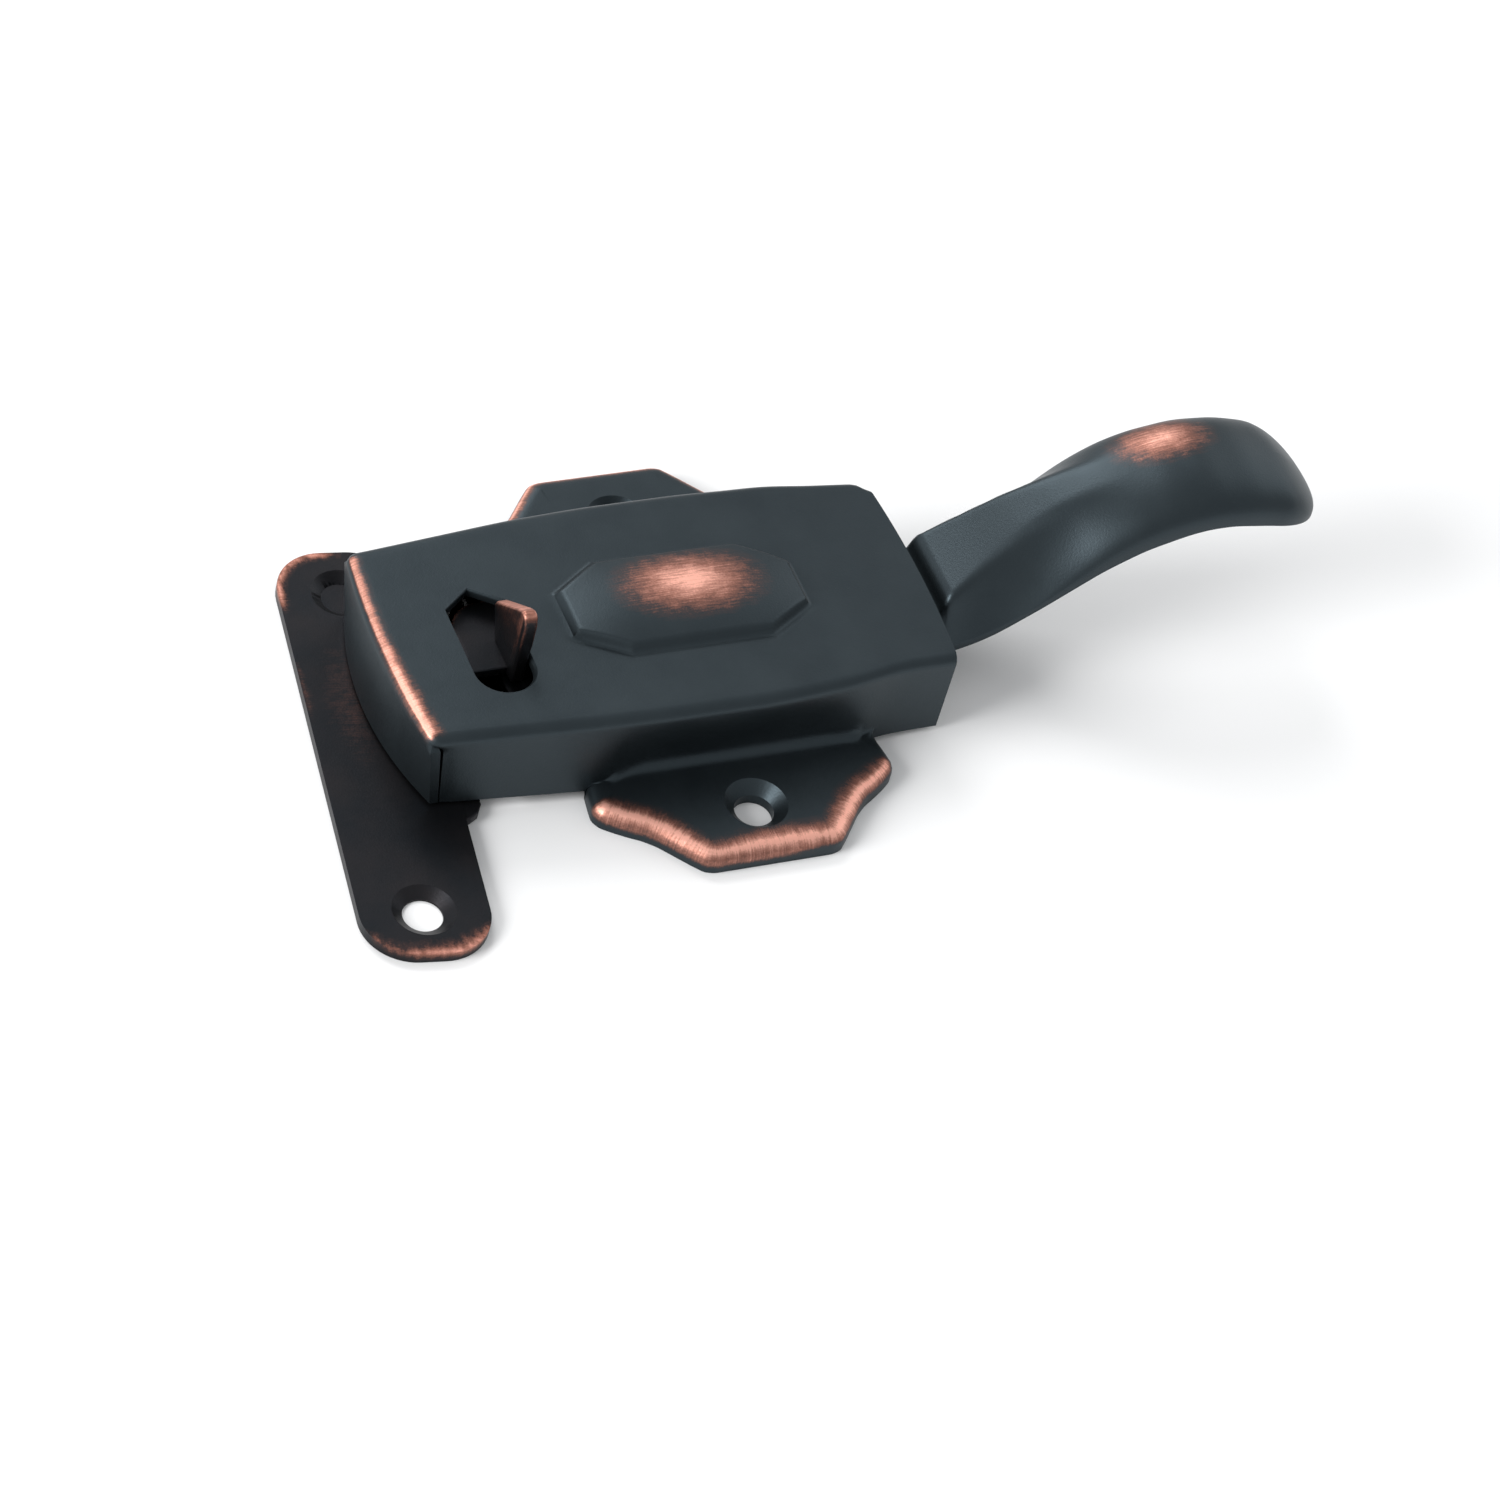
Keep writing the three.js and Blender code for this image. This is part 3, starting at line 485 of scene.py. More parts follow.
class Sheet:
    """Collects a sheet's outer and inner points under shared keys and closes it round its open edges."""

    def __init__(self):
        self.index, self.outer, self.inner, self.faces = {}, [], [], []

    def point(self, key, place):
        if key not in self.index:
            self.index[key] = len(self.outer)
            self.outer.append(place(0.0))
            self.inner.append(place(COVER_SHEET))
        return self.index[key]

    def lattice(self, columns, flip):
        """Faces between neighbouring columns of points."""
        for first, second in zip(columns, columns[1:]):
            for a, b, c, d in zip(first, first[1:], second[1:], second):
                self.faces.append([d, c, b, a] if flip else [a, b, c, d])

    def closed(self, name):
        count = len(self.outer)
        edges = {}
        for face in self.faces:
            for a, b in zip(face, face[1:] + face[:1]):
                edges[(a, b)] = True
        faces = list(self.faces) + [[i + count for i in f[::-1]] for f in self.faces]
        for a, b in edges:
            if (b, a) not in edges:
                faces.append([b, a, a + count, b + count])
        return mesh_object(name, self.outer + self.inner, faces)


def cover_sheet():
    us, ys, folds = cover_columns(), cover_rows(), fold_lines(COVER_FOLD)
    sheet = Sheet()

    def top_place(u, y):
        def place(inset):
            x, py, z = cover_warp(*folded(u, y, COVER_TOP, inset))
            return (x, py, z + float(boss_rise(x, py)))
        return place

    def over_fold(i, j, u, y):
        """Points from the edge of the top down round its fold."""
        return [
            sheet.point(("box", i, j, k), lambda inset: cover_warp(*folded(u, y, COVER_TOP - down, inset)))
            for k, down in enumerate(folds)
        ]

    sheet.lattice([
        [sheet.point(("box", i, j, 0), top_place(u, y)) for j, y in enumerate(ys)]
        for i, u in enumerate(us)
    ], flip=True)
    for side, j in ((-1, 0), (1, len(ys) - 1)):
        columns = []
        for i, u in enumerate(us):
            walls = {inset: wall_column(u, side, inset) for inset in (0.0, COVER_SHEET)}
            columns.append(over_fold(i, j, u, side * COVER_HALF) + [
                sheet.point(("wall", i, side, k), lambda inset: walls[inset][k])
                for k in range(len(walls[0.0]))
            ])
        sheet.lattice(columns, flip=side > 0)
    sheet.lattice([
        over_fold(0, j, 0, y) + [
            sheet.point(("flap", j, step), lambda inset: flap_point(y, step, inset))
            for step in range(1, FLAP_STEPS + 1)
        ]
        for j, y in enumerate(ys)
    ], flip=True)
    made = sheet.closed("cover_shell")
    tidy_mesh(made, merge=0.0005)
    return made


def slot_cutter():
    """The thumb slot: a round front end, straight sides and a pointed back, flared at the top edge."""
    middle, r = (SLOT_LEFT + SLOT_RIGHT) / 2, (SLOT_RIGHT - SLOT_LEFT) / 2
    rounds = [
        (middle - r * cos(a), SLOT_FRONT + r - r * sin(a)) for a in np.linspace(0, pi, 25)
    ]
    outline = rounds + [(SLOT_RIGHT, SLOT_SHOULDER), (middle, SLOT_BACK), (SLOT_LEFT, SLOT_SHOULDER)]
    surface = float(top_z(middle))

    def ring(z, grow):
        cy = (SLOT_FRONT + SLOT_SHOULDER) / 2
        out = []
        for x, y in outline:
            d = hypot(x - middle, y - cy)
            out.append((x + grow * (x - middle) / r, y + grow * (y - cy) / d, z))
        return out
    return mesh_object("slot_cut", *stacked([
        ring(surface - 2.6, 0), ring(surface - 0.28, 0),
        ring(surface - 0.10, 0.07), ring(surface + 0.6, 0.75),
    ]))


def screw_cutter(x, y, surface, depth, floor):
    """A screw hole with a countersink that ends just over the surface."""
    slope = (SINK_R - SCREW_R) / depth
    return turned("hole_cut", x, y, [
        (floor - 1, SCREW_R), (surface - depth, SCREW_R), (surface + 0.3, SINK_R + 0.3 * slope),
    ])


def cover_piece(material):
    made = cover_sheet()
    for side in (-1, 1):
        seat = turned("seat", 0, side * SCREW_Y, [(0, SEAT_R), (EAR_TOP - COVER_SHEET / 2, SEAT_R)])
        combine(made, seat, "UNION")
    for side in (-1, 1):
        combine(made, screw_cutter(0, side * SCREW_Y, EAR_TOP, SINK_DEPTH, 0), "DIFFERENCE")
    combine(made, slot_cutter(), "DIFFERENCE")
    made.name = made.data.name = "cover_shell"
    shade(made, 38)
    write_rub(made, *cover_rub(*surface_of(made)))
    return finish_piece(made, material, "case", ["cover"])


def falloff(distance, half, reach):
    """1 on the worn line, 0.5 at half its width, 0 past its reach."""
    near = 1 - 0.5 * distance / half
    far = 0.5 * (1 - (distance - half) / (reach - half))
    return np.clip(np.where(distance < half, near, far), 0, 1)


def nearest_on_outline(x, y):
    """Distance from the ear's outline and the place along it, for points given with y away from the cover."""
    full, run = mirrored(EAR_HALF)
    gap = np.hypot(x[:, None] - full[None, ::4, 0], y[:, None] - full[None, ::4, 1])
    best = gap.argmin(1)
    return gap[np.arange(len(x)), best], run[::4][best]


def cover_rub(p, n):
    """Rubbed zones of the cover: the left fold, the ears' shoulders and the middle of the boss."""
    x, y, z = p.T
    lengthwise, crosswise, wear = y.copy(), x.copy(), np.zeros(len(p))

    def zone(mask, a, b, w):
        take = mask & (w > wear)
        lengthwise[take], crosswise[take], wear[take] = a[take], b[take], w[take]

    across = y / half_width(0)
    fold_x = COVER_LEFT - 0.4 - 0.8 * (1 - across ** 2)
    inwards = np.maximum(x - fold_x, 0)
    down = np.maximum(COVER_TOP - z, 0)
    distance = np.where(inwards > down, np.abs(inwards - 0.45), 0.45 + down)
    strength = (0.8 + 0.2 * smooth((3 - y) / 12)) * smooth((half_width(0) - 0.2 - np.abs(y)) / 1.0)
    reach = 1.2 + 0.7 * smooth((6 - y) / 14)
    on_fold = (x < -28) & (z > 7) & (n[:, 0] < 0.99)
    zone(on_fold, y, distance, strength * falloff(distance, 0.36 * reach, reach))
    outside = np.abs(y) > EAR_ROOT_Y
    gap, run = np.full(len(p), 9.0), np.zeros(len(p))
    front = y < 0
    reach_y = np.abs(y) - np.where(front, 0, REAR_EAR_EXTRA * smooth((np.abs(y) - EAR_ROOT_Y - 1.2) / 7))
    gap[outside], run[outside] = nearest_on_outline(x[outside], reach_y[outside])
    uneven = np.cos(run / 4.2) * 0.5 + np.cos(run / 1.9 + 1.0) * 0.3
    middle = np.where(front, 0.9 + 0.2 * uneven, 0.3)
    half = np.where(front, 0.75 + 0.3 * uneven, 0.24)
    above = smooth((z - np.where(front, 0.55 + 0.6 * smooth((x + 1) / 7), 1.1)) / 0.6)
    band = falloff(np.abs(gap - middle), half, half + np.where(front, 1.6, 0.7)) * (0.15 + 0.85 * above)
    band *= smooth((18.2 - np.abs(x + 1.0)) / 3.0) * smooth((np.abs(y) - 15.6) / 1.2)
    on_ear = outside & (z > 0.2) & (z < EAR_TOP + 0.15) & (n[:, 2] > -0.3)
    zone(on_ear, run, gap, band)
    spot = (np.abs((x - BOSS_X - 0.9) / 4.6) ** 2.2 + np.abs((y - 1.1) / 2.6) ** 2.2) ** (1 / 2.2)
    zone((z > COVER_TOP + 0.8) & (n[:, 2] > 0.3), y, x, np.clip(0.95 - 0.45 * spot, 0, 1))
    return lengthwise, crosswise, wear


# Handle

def nose_outline(count):
    """The handle's round tip in plan, from the near side to the middle, as (along, half width)."""
    reach, half = HANDLE_TO - HANDLE_NOSE, float(along(HANDLE_HALF, HANDLE_NOSE))
    angles = np.linspace(0, pi / 2, count + 1)
    power = 2 / 2.35
    return [(HANDLE_NOSE + reach * sin(a) ** power, half * max(cos(a), 0) ** power) for a in angles]


def handle_stations():
    """Pairs of plan points: on the centreline and on the near rim."""
    straight = [(u, float(eased(HANDLE_HALF, u, 2.0))) for u in np.linspace(HANDLE_FROM, HANDLE_NOSE, 110)]
    nose = nose_outline(24)[1:]
    rims = straight + nose
    centres = [u for u, _ in straight]
    centres += [HANDLE_NOSE + 1.2 * (i + 1) / len(nose) for i in range(len(nose))]
    return [((c, 0.0), rim) for c, rim in zip(centres, rims)]


def handle_top(u):
    step = HANDLE_STEP * (1 - smooth((u - HANDLE_STEP_FROM) / (HANDLE_STEP_TO - HANDLE_STEP_FROM)))
    return eased(HANDLE_EDGE, u, 2.2) + eased(HANDLE_CROWN, u, 1.5) - step


def roof_fall(out, ridge):
    """How far a flat-topped section with straight flanks has fallen, from 0 in the middle to 1 at the rim."""
    soft = 0.07
    fall = lambda share: soft * log1p(exp((share - ridge) / (1 - ridge) / soft))
    return (fall(out) - fall(0)) / (fall(1) - fall(0))


def handle_row(centre, rim, side):
    """Points from the centreline over the shoulder down to the rim on one side."""
    square = float(along(HANDLE_SQUARENESS, rim[0]))
    ridge_line = HANDLE_NEAR_RIDGE if side < 0 else HANDLE_FAR_RIDGE
    ridge = float(eased(ridge_line, rim[0], 2.0)) / float(along(HANDLE_HALF, rim[0]))
    domed = float(smooth((rim[0] - 66) / 14))
    walled = float(smooth((rim[0] - 70) / 12))
    rim_z = float(eased(HANDLE_RIM, rim[0], 2.2))
    crown_z = float(handle_top(rim[0]))
    start_z = (rim_z + 0.9) * (1 - walled) + max(rim_z + 0.15, crown_z - 3.6) * walled
    points = []
    for k in range(25):
        out = sin(pi / 2 * k / 24)
        dome = max(1 - out ** square, 0) ** (1 / square)
        up = dome * domed + (1 - roof_fall(out, ridge)) * (1 - domed)
        u = centre[0] + (rim[0] - centre[0]) * out
        points.append((u, side * rim[1] * out, start_z + (float(handle_top(u)) - start_z) * up))
    for f in (0.34, 0.67, 1.0):
        points.append((rim[0], side * rim[1], start_z + (rim_z - start_z) * f))
    return [(COVER_LEFT + u, y, z) for u, y, z in points]


def handle_piece(material):
    rows = []
    for centre, rim in handle_stations():
        near, far = handle_row(centre, rim, -1), handle_row(centre, rim, 1)
        rows.append(near[::-1] + far[1:])
    n = len(rows[0])
    faces = [
        [i * n + j, (i + 1) * n + j, (i + 1) * n + j + 1, i * n + j + 1]
        for i in range(len(rows) - 1) for j in range(n - 1)
    ]
    made = mesh_object("handle_lever", [p for row in rows for p in row], faces)
    tidy_mesh(made, merge=0.002)
    if sum(poly.normal.z * poly.area for poly in made.data.polygons) < 0:
        made.data.flip_normals()
    wall = made.modifiers.new("wall", "SOLIDIFY")
    wall.thickness, wall.offset, wall.use_even_offset = HANDLE_SHEET * MM, -1, True
    evaluated_copy(made)
    shade(made, 50)
    points, normals = surface_of(made)
    x, y, _ = points.T
    spot = np.hypot((x - SPOT_X) / SPOT_HALF_X, (y - SPOT_Y) / SPOT_HALF_Y)
    top = normals[:, 2] > 0.2
    write_rub(made, y, x, np.where(top, np.clip(0.82 - 0.36 * spot, 0, 1), 0))
    return finish_piece(made, material, "handle", ["handle"])


# Lock slide

def prism(name, outline, low, high, place):
    """An outline drawn out between two levels; place turns (a, b, level) into a point."""
    rings = [[place(a, b, level) for a, b in outline] for level in (low, high)]
    made = mesh_object(name, *stacked(rings))
    tidy_mesh(made)
    return made


def soften(obj, width, segments=3, angle_deg=40):
    """Rounds the object's edges."""
    step = obj.modifiers.new("edge", "BEVEL")
    step.width, step.segments, step.limit_method = width * MM, segments, "ANGLE"
    step.angle_limit = radians(angle_deg)
    return evaluated_copy(obj)


def lock_piece(material):
    """The leaf seen in the slot, the leaning thumb tab bent up from it and the finger bent down."""
    angles = np.linspace(radians(24), radians(158), 22)
    back_arc = [(LEAF_X + LEAF_R * cos(a), LEAF_Y + LEAF_R * sin(a)) for a in angles]
    leaf_outline = [(-25.4, -3.4), (-20.2, -3.4), (-20.2, 0.2), (-17.2, 0.2)] + back_arc
    leaf = prism("lock_leaf", leaf_outline, LEAF_FLOOR, LEAF_TOP, lambda a, b, z: (a, b, z))
    soften(leaf, 0.14)
    tab_outline = [
        (-4.65, LEAF_FLOOR + 0.1), (0.0, LEAF_FLOOR + 0.1), (0.7, 9.2), (1.4, 10.6), (2.0, 11.7), (2.1, 12.1),
        (1.9, 12.6), (1.3, 13.1), (-2.9, 16.5), (-3.5, 16.85), (-4.1, 16.9), (-4.5, 16.5), (-4.75, 15.6),
        (-4.8, 13.0), (-4.65, 11.4),
    ]
    tab = prism("lock_tab", tab_outline, TAB_LEFT, TAB_RIGHT, lambda a, b, x: (x, a, b))
    soften(tab, 0.3, 4, 30)
    finger_outline = [(0.3, 5.85), (3.3, 5.85), (3.3, LEAF_TOP - 0.1), (0.3, LEAF_TOP - 0.1)]
    finger = prism("lock_finger", finger_outline, -18.2, -17.3, lambda a, b, x: (x, a, b))
    combine(leaf, tab, "UNION")
    combine(leaf, finger, "UNION")
    columns = chained(span(-25.2, -21.7, 8), span(-21.7, -20.1, 13), span(-20.1, -17.4, 6))
    gridded(leaf, columns, span(-4.6, 5.4, 21))
    leaf.name = leaf.data.name = "lock_lever"
    shade(leaf, 40)
    write_rub(leaf, *lock_rub(*surface_of(leaf)))
    return finish_piece(leaf, material, "lock", ["lock_slide"])


def lock_rub(p, n):
    """The tab is rubbed on its top edge and on the edges beside it, the leaf a little on its curved edge."""
    x, y, z = p.T
    wear = np.zeros(len(p))
    tab = (z > LEAF_TOP + 0.4)
    top_edge = np.minimum(16.75, 16.5 - 0.81 * (y + 2.9))
    upper = falloff(np.abs(top_edge - z), 0.3, 1.0)
    from_face = np.minimum(np.abs(x - TAB_RIGHT), np.abs(x - TAB_LEFT)) + 2.0 * (np.abs(n[:, 0]) > 0.95)
    border = falloff(np.abs(from_face - 0.1), 0.12, 0.4)
    wear = np.where(tab, np.maximum(0.7 * upper, 0.45 * border * smooth((z - 10.5) / 4.0)), wear)
    rim = np.hypot(x - LEAF_X, y - LEAF_Y)
    leaf = (z <= LEAF_TOP + 0.1) & (z > LEAF_TOP - 0.7) & (y > 2.0)
    wear = np.where(leaf, 0.55 * falloff(np.abs(rim - LEAF_R), 0.15, 0.5), wear)
    return y, z, wear


# Node trees

def feed(tree, socket, value):
    """Sets a socket's value, or links it to an output or to a node's first output."""
    if isinstance(value, bpy.types.Node):
        value = value.outputs[0]
    if isinstance(value, bpy.types.NodeSocket):
        tree.links.new(value, socket)
    else:
        socket.default_value = value


def node(tree, kind, inputs=None, **settings):
    """Adds a node, sets it and feeds its inputs."""
    made = tree.nodes.new(kind)
    for key, value in settings.items():
        setattr(made, key, value)
    for key, value in (inputs or {}).items():
        feed(tree, made.inputs[key], value)
    return made


def maths(tree, operation, a, b=0.0, c=0.0, clamp=False):
    return node(tree, "ShaderNodeMath", {0: a, 1: b, 2: c}, operation=operation, use_clamp=clamp).outputs[0]


def vector(tree, **axes):
    return node(tree, "ShaderNodeCombineXYZ", axes)


def joined(tree, *parts):
    made = tree.nodes.new("GeometryNodeJoinGeometry")
    for part in parts:
        feed(tree, made.inputs[0], part)
    return made


def node_group(name, kind, inputs, outputs):
    """A node group; an input is given by its usual value or its kind of socket, an output by its kind."""
    tree = bpy.data.node_groups.new(name, kind)
    for label, given in inputs.items():
        number = "NodeSocketInt" if isinstance(given, int) else "NodeSocketFloat"
        socket_type = given if isinstance(given, str) else number
        socket = tree.interface.new_socket(label, in_out="INPUT", socket_type=socket_type)
        if socket_type != given:
            socket.default_value = given
    for label, socket_type in outputs.items():
        tree.interface.new_socket(label, in_out="OUTPUT", socket_type=socket_type)
    return tree, tree.nodes.new("NodeGroupInput").outputs


# Geometry Nodes

def geometry_tree(name, sizes):
    """A tree with one named number input per size and a geometry output."""
    shape = {"Geometry": "NodeSocketGeometry"}
    return node_group(name, "GeometryNodeTree", {**shape, **sizes}, shape)


def end_tree(tree, geometry, material):
    real = node(tree, "GeometryNodeRealizeInstances", {"Geometry": geometry})
    painted = node(tree, "GeometryNodeSetMaterial", {"Geometry": real, "Material": material})
    node(tree, "NodeGroupOutput", {0: painted})
    return tree


def grown(name, tree, sizes):
    """A plain mesh object made by the tree with the given sizes, in metres."""
    made = bpy.data.objects.new(name, bpy.data.meshes.new(name))
    bpy.context.scene.collection.objects.link(made)
    step = made.modifiers.new("grow", "NODES")
    step.node_group = tree
    sockets = {item.name: item.identifier for item in tree.interface.items_tree if item.in_out == "INPUT"}
    for label, value in sizes.items():
        step[sockets[label]] = value
    return evaluated_copy(made)


def coil_tree(material):
    """A round wire wound evenly along Z."""
    tree, size = geometry_tree("wound_spring", {
        "Turns": SPRING_TURNS, "Radius": 2.5, "Length": 10.0, "Wire": SPRING_WIRE,
    })
    spiral = node(tree, "GeometryNodeCurveSpiral", {
        "Resolution": 40, "Rotations": size["Turns"], "Start Radius": size["Radius"],
        "End Radius": size["Radius"], "Height": size["Length"], "Reverse": False,
    })
    wire = node(tree, "GeometryNodeCurvePrimitiveCircle", {"Resolution": 14, "Radius": size["Wire"]})
    swept = node(tree, "GeometryNodeCurveToMesh", {"Curve": spiral, "Profile Curve": wire, "Fill Caps": True})
    return end_tree(tree, swept, material)


def rivet_tree(material):
    """A row of domed rivets along Y, their shanks going down from the head's seat."""
    tree, size = geometry_tree("rivet_row", {
        "Count": 2, "Pitch": 8.0, "Head radius": 1.5, "Head height": RIVET_HEAD, "Shank radius": 0.8,
        "Shank length": 3.0,
    })
    ball = node(tree, "GeometryNodeMeshUVSphere", {"Segments": 32, "Rings": 12, "Radius": 1.0})
    across = vector(tree, X=size["Head radius"], Y=size["Head radius"], Z=size["Head height"])
    oval = node(tree, "GeometryNodeTransform", {"Geometry": ball, "Scale": across})
    place = node(tree, "GeometryNodeInputPosition")
    z = node(tree, "ShaderNodeSeparateXYZ", {"Vector": place}).outputs["Z"]
    below = node(tree, "FunctionNodeCompare", {"A": z, "B": 0.0}, data_type="FLOAT", operation="LESS_THAN")
    head = node(tree, "GeometryNodeSetPosition", {
        "Geometry": oval, "Selection": below, "Offset": vector(tree, Z=maths(tree, "MULTIPLY", z, -0.9)),
    })
    shank = node(tree, "GeometryNodeMeshCylinder", {
        "Vertices": 24, "Radius": size["Shank radius"], "Depth": size["Shank length"],
    })
    down = vector(tree, Z=maths(tree, "MULTIPLY", size["Shank length"], -0.5))
    lowered = node(tree, "GeometryNodeTransform", {"Geometry": shank, "Translation": down})
    rivet, pitch = joined(tree, lowered, head), vector(tree, Y=size["Pitch"])
    row = node(tree, "GeometryNodeMeshLine", {"Count": size["Count"], "Offset": pitch})
    placed = node(tree, "GeometryNodeInstanceOnPoints", {"Points": row, "Instance": rivet})
    return end_tree(tree, placed, material)


def strike_tree(material):
    """A flat plate with round corners and two screw holes, drawn up to its thickness."""
    tree, size = geometry_tree("strike_plate", {
        "Width": 12.9, "Length": 52.2, "Corner": STRIKE_CORNER, "Thickness": STRIKE_SHEET,
        "Hole radius": SCREW_R, "Hole offset": STRIKE_HOLE_Y,
    })
    blank = node(tree, "GeometryNodeCurvePrimitiveQuadrilateral", {
        "Width": size["Width"], "Height": size["Length"],
    })
    edge = node(tree, "GeometryNodeFilletCurve", {
        "Curve": blank, "Radius": size["Corner"], "Limit Radius": True, "Count": 14,
    }, mode="POLY")
    holes = []
    for sign in (-1.0, 1.0):
        circle = node(tree, "GeometryNodeCurvePrimitiveCircle", {
            "Resolution": 48, "Radius": size["Hole radius"],
        })
        offset = vector(tree, Y=maths(tree, "MULTIPLY", size["Hole offset"], sign))
        holes.append(node(tree, "GeometryNodeTransform", {"Geometry": circle, "Translation": offset}))
    face = node(tree, "GeometryNodeFillCurve", {"Curve": joined(tree, edge, *holes)}, mode="TRIANGLES")
    drawn = node(tree, "GeometryNodeExtrudeMesh", {
        "Mesh": face, "Offset": (0.0, 0.0, 1.0), "Offset Scale": size["Thickness"], "Individual": False,
    }, mode="FACES")
    under = node(tree, "GeometryNodeFlipFaces", {"Mesh": face})
    return end_tree(tree, joined(tree, drawn, under), material)


# Strike

def strike_piece(material):
    made = grown("strike_plate", strike_tree(material), {
        "Width": 2 * STRIKE_HALF_WIDTH * MM, "Length": 2 * STRIKE_HALF_LENGTH * MM,
        "Corner": STRIKE_CORNER * MM, "Thickness": STRIKE_SHEET * MM,
        "Hole radius": SCREW_R * MM, "Hole offset": STRIKE_HOLE_Y * MM,
    })
    tidy_mesh(made, merge=0.001)
    w = STRIKE_HALF_WIDTH
    keeper_side = [
        (w - 0.9, 0.05), (w + 0.5, 0.05), (w + 0.5, 3.6), (w + 0.7, 4.05), (w + 1.1, 4.2), (w + 2.4, 4.2),
        (w + 2.4, 5.2), (w + 0.9, 5.2), (w - 0.1, 4.9), (w - 0.5, 4.2), (w - 0.6, 3.4), (w - 0.6, 1.4),
        (w - 0.9, 1.0),
    ]
    keeper = prism("keeper", keeper_side, -6.0, 6.0, lambda a, b, s: (a, s, b))
    soften(keeper, 0.15, 2)
    flange = [
        (w - 1.1, -9.6), (w, -9.6), (w + 0.5, -9.4), (w + 1.4, -8.7), (w + 1.9, -7.6), (w + 1.9, 7.0),
        (w - 1.1, 7.0),
    ]
    root = prism("keeper_root", flange, 0.02, STRIKE_SHEET - 0.02, lambda a, b, z: (a, b, z))
    soften(root, 0.2, 3)
    combine(made, root, "UNION")
    combine(made, keeper, "UNION")
    for side in (-1, 1):
        cutter = turned("hole_cut", 0, side * STRIKE_HOLE_Y, [
            (STRIKE_SHEET * 0.2, SCREW_R - 0.02), (STRIKE_SHEET + 0.3, SINK_R + 0.35),
        ])
        combine(made, cutter, "DIFFERENCE")
    soften(made, 0.16, 2, 50)
    rows = chained(span(-25.8, -17.0, 15), span(-17.0, 12.0, 15), span(12.0, 25.8, 23))
    gridded(made, chained(span(-6.2, -3.2, 7), span(-3.2, 3.2, 5), span(3.2, 6.2, 7)), rows)
    rub = strike_rub(*surface_of(made))
    turn = Matrix.Rotation(STRIKE_TURN, 4, "Z")
    made.data.transform(Matrix.Translation((STRIKE_X * MM, STRIKE_Y * MM, 0)) @ turn)
    shade(made, 35)
    write_rub(made, *rub)
    return finish_piece(made, material, "strike", ["strike"])


def strike_rub(p, n):
    """Rubbed zones of the strike: the near end's rim, the far end's outer edge and, faintly, its middle."""
    x, y, z = p.T
    inner_x, inner_y = STRIKE_HALF_WIDTH - STRIKE_CORNER, STRIKE_HALF_LENGTH - STRIKE_CORNER
    dx, dy = np.maximum(np.abs(x) - inner_x, 0), np.maximum(np.abs(y) - inner_y, 0)
    gap = STRIKE_CORNER - np.hypot(dx, dy)
    run = np.where(dy > 0, np.arctan2(y, x) * 8, y)
    near_end = 0.9 * smooth((-y - 21.5) / 3.0) * (0.55 + 0.45 * smooth((x + 4) / 5))
    far_end = 0.85 * smooth((y - 17) / 4) * smooth((2 - x) / 4)
    middle = 0.3 * smooth((y - 2) / 5) * smooth((14 - y) / 5) * smooth((-x - 3) / 3)
    keep = (z > 0.15) & (n[:, 2] > -0.5)
    strength = np.maximum(np.maximum(near_end, far_end), middle)
    band = strength * falloff(np.abs(gap - 0.2), 0.3, np.where(y < 0, 2.2, 1.2))
    blotch = 0.19 * np.exp(-((y - 6) / 9) ** 2 - ((x + 1.8) / 3.5) ** 2)
    return run, gap, np.where(keep, np.maximum(band, blotch), 0)


# Spring and rivets

def spring_piece(material):
    low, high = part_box("bolt_spring")
    wire = SPRING_WIRE * MM
    centre = (low + high) / 2
    length = high.x - low.x - 2 * wire
    made = grown("bolt_coil", coil_tree(material), {
        "Turns": SPRING_TURNS, "Radius": (high.z - low.z) / 2 - wire, "Length": length, "Wire": wire,
    })
    along_x = Matrix.Translation((low.x + wire, centre.y, centre.z)) @ Matrix.Rotation(radians(90), 4, "Y")
    made.data.transform(along_x)
    tidy_mesh(made, merge=0.0005)
    shade(made, 60)
    finish_piece(made, material, "case", ["bolt_spring"])
    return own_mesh(made)


def rivet_piece(name, nodes, body, tree, material):
    low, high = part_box(nodes[0])
    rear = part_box(nodes[1])
    made = grown(name, tree, {
        "Count": 2, "Pitch": (rear[0].y + rear[1].y) / 2 - (low.y + high.y) / 2,
        "Head radius": (high.x - low.x) / 2, "Head height": RIVET_HEAD * MM,
        "Shank radius": (high.x - low.x) / 2 * RIVET_SHANK_SHARE,
        "Shank length": high.z - low.z - RIVET_HEAD * MM,
    })
    seat = ((low.x + high.x) / 2, (low.y + high.y) / 2, high.z - RIVET_HEAD * MM)
    made.data.transform(Matrix.Translation(seat))
    tidy_mesh(made)
    shade(made, 40)
    return finish_piece(made, material, body, nodes)


# Finishes

def shader_group(name, inputs, outputs):
    """A shader group that reads a place and named numbers and puts out numbers."""
    given = {"Place": "NodeSocketVector", **inputs}
    return node_group(name, "ShaderNodeTree", given, dict.fromkeys(outputs, "NodeSocketFloat"))


def placed_group(tree, group, place, inputs):
    return node(tree, "ShaderNodeGroup", {"Place": place, **inputs}, node_tree=group).outputs


def noise(tree, vector, scale, detail=2.0, roughness=0.5):
    return node(tree, "ShaderNodeTexNoise", {
        "Vector": vector, "Scale": scale, "Detail": detail, "Roughness": roughness,
    }, noise_dimensions="3D").outputs["Fac"]


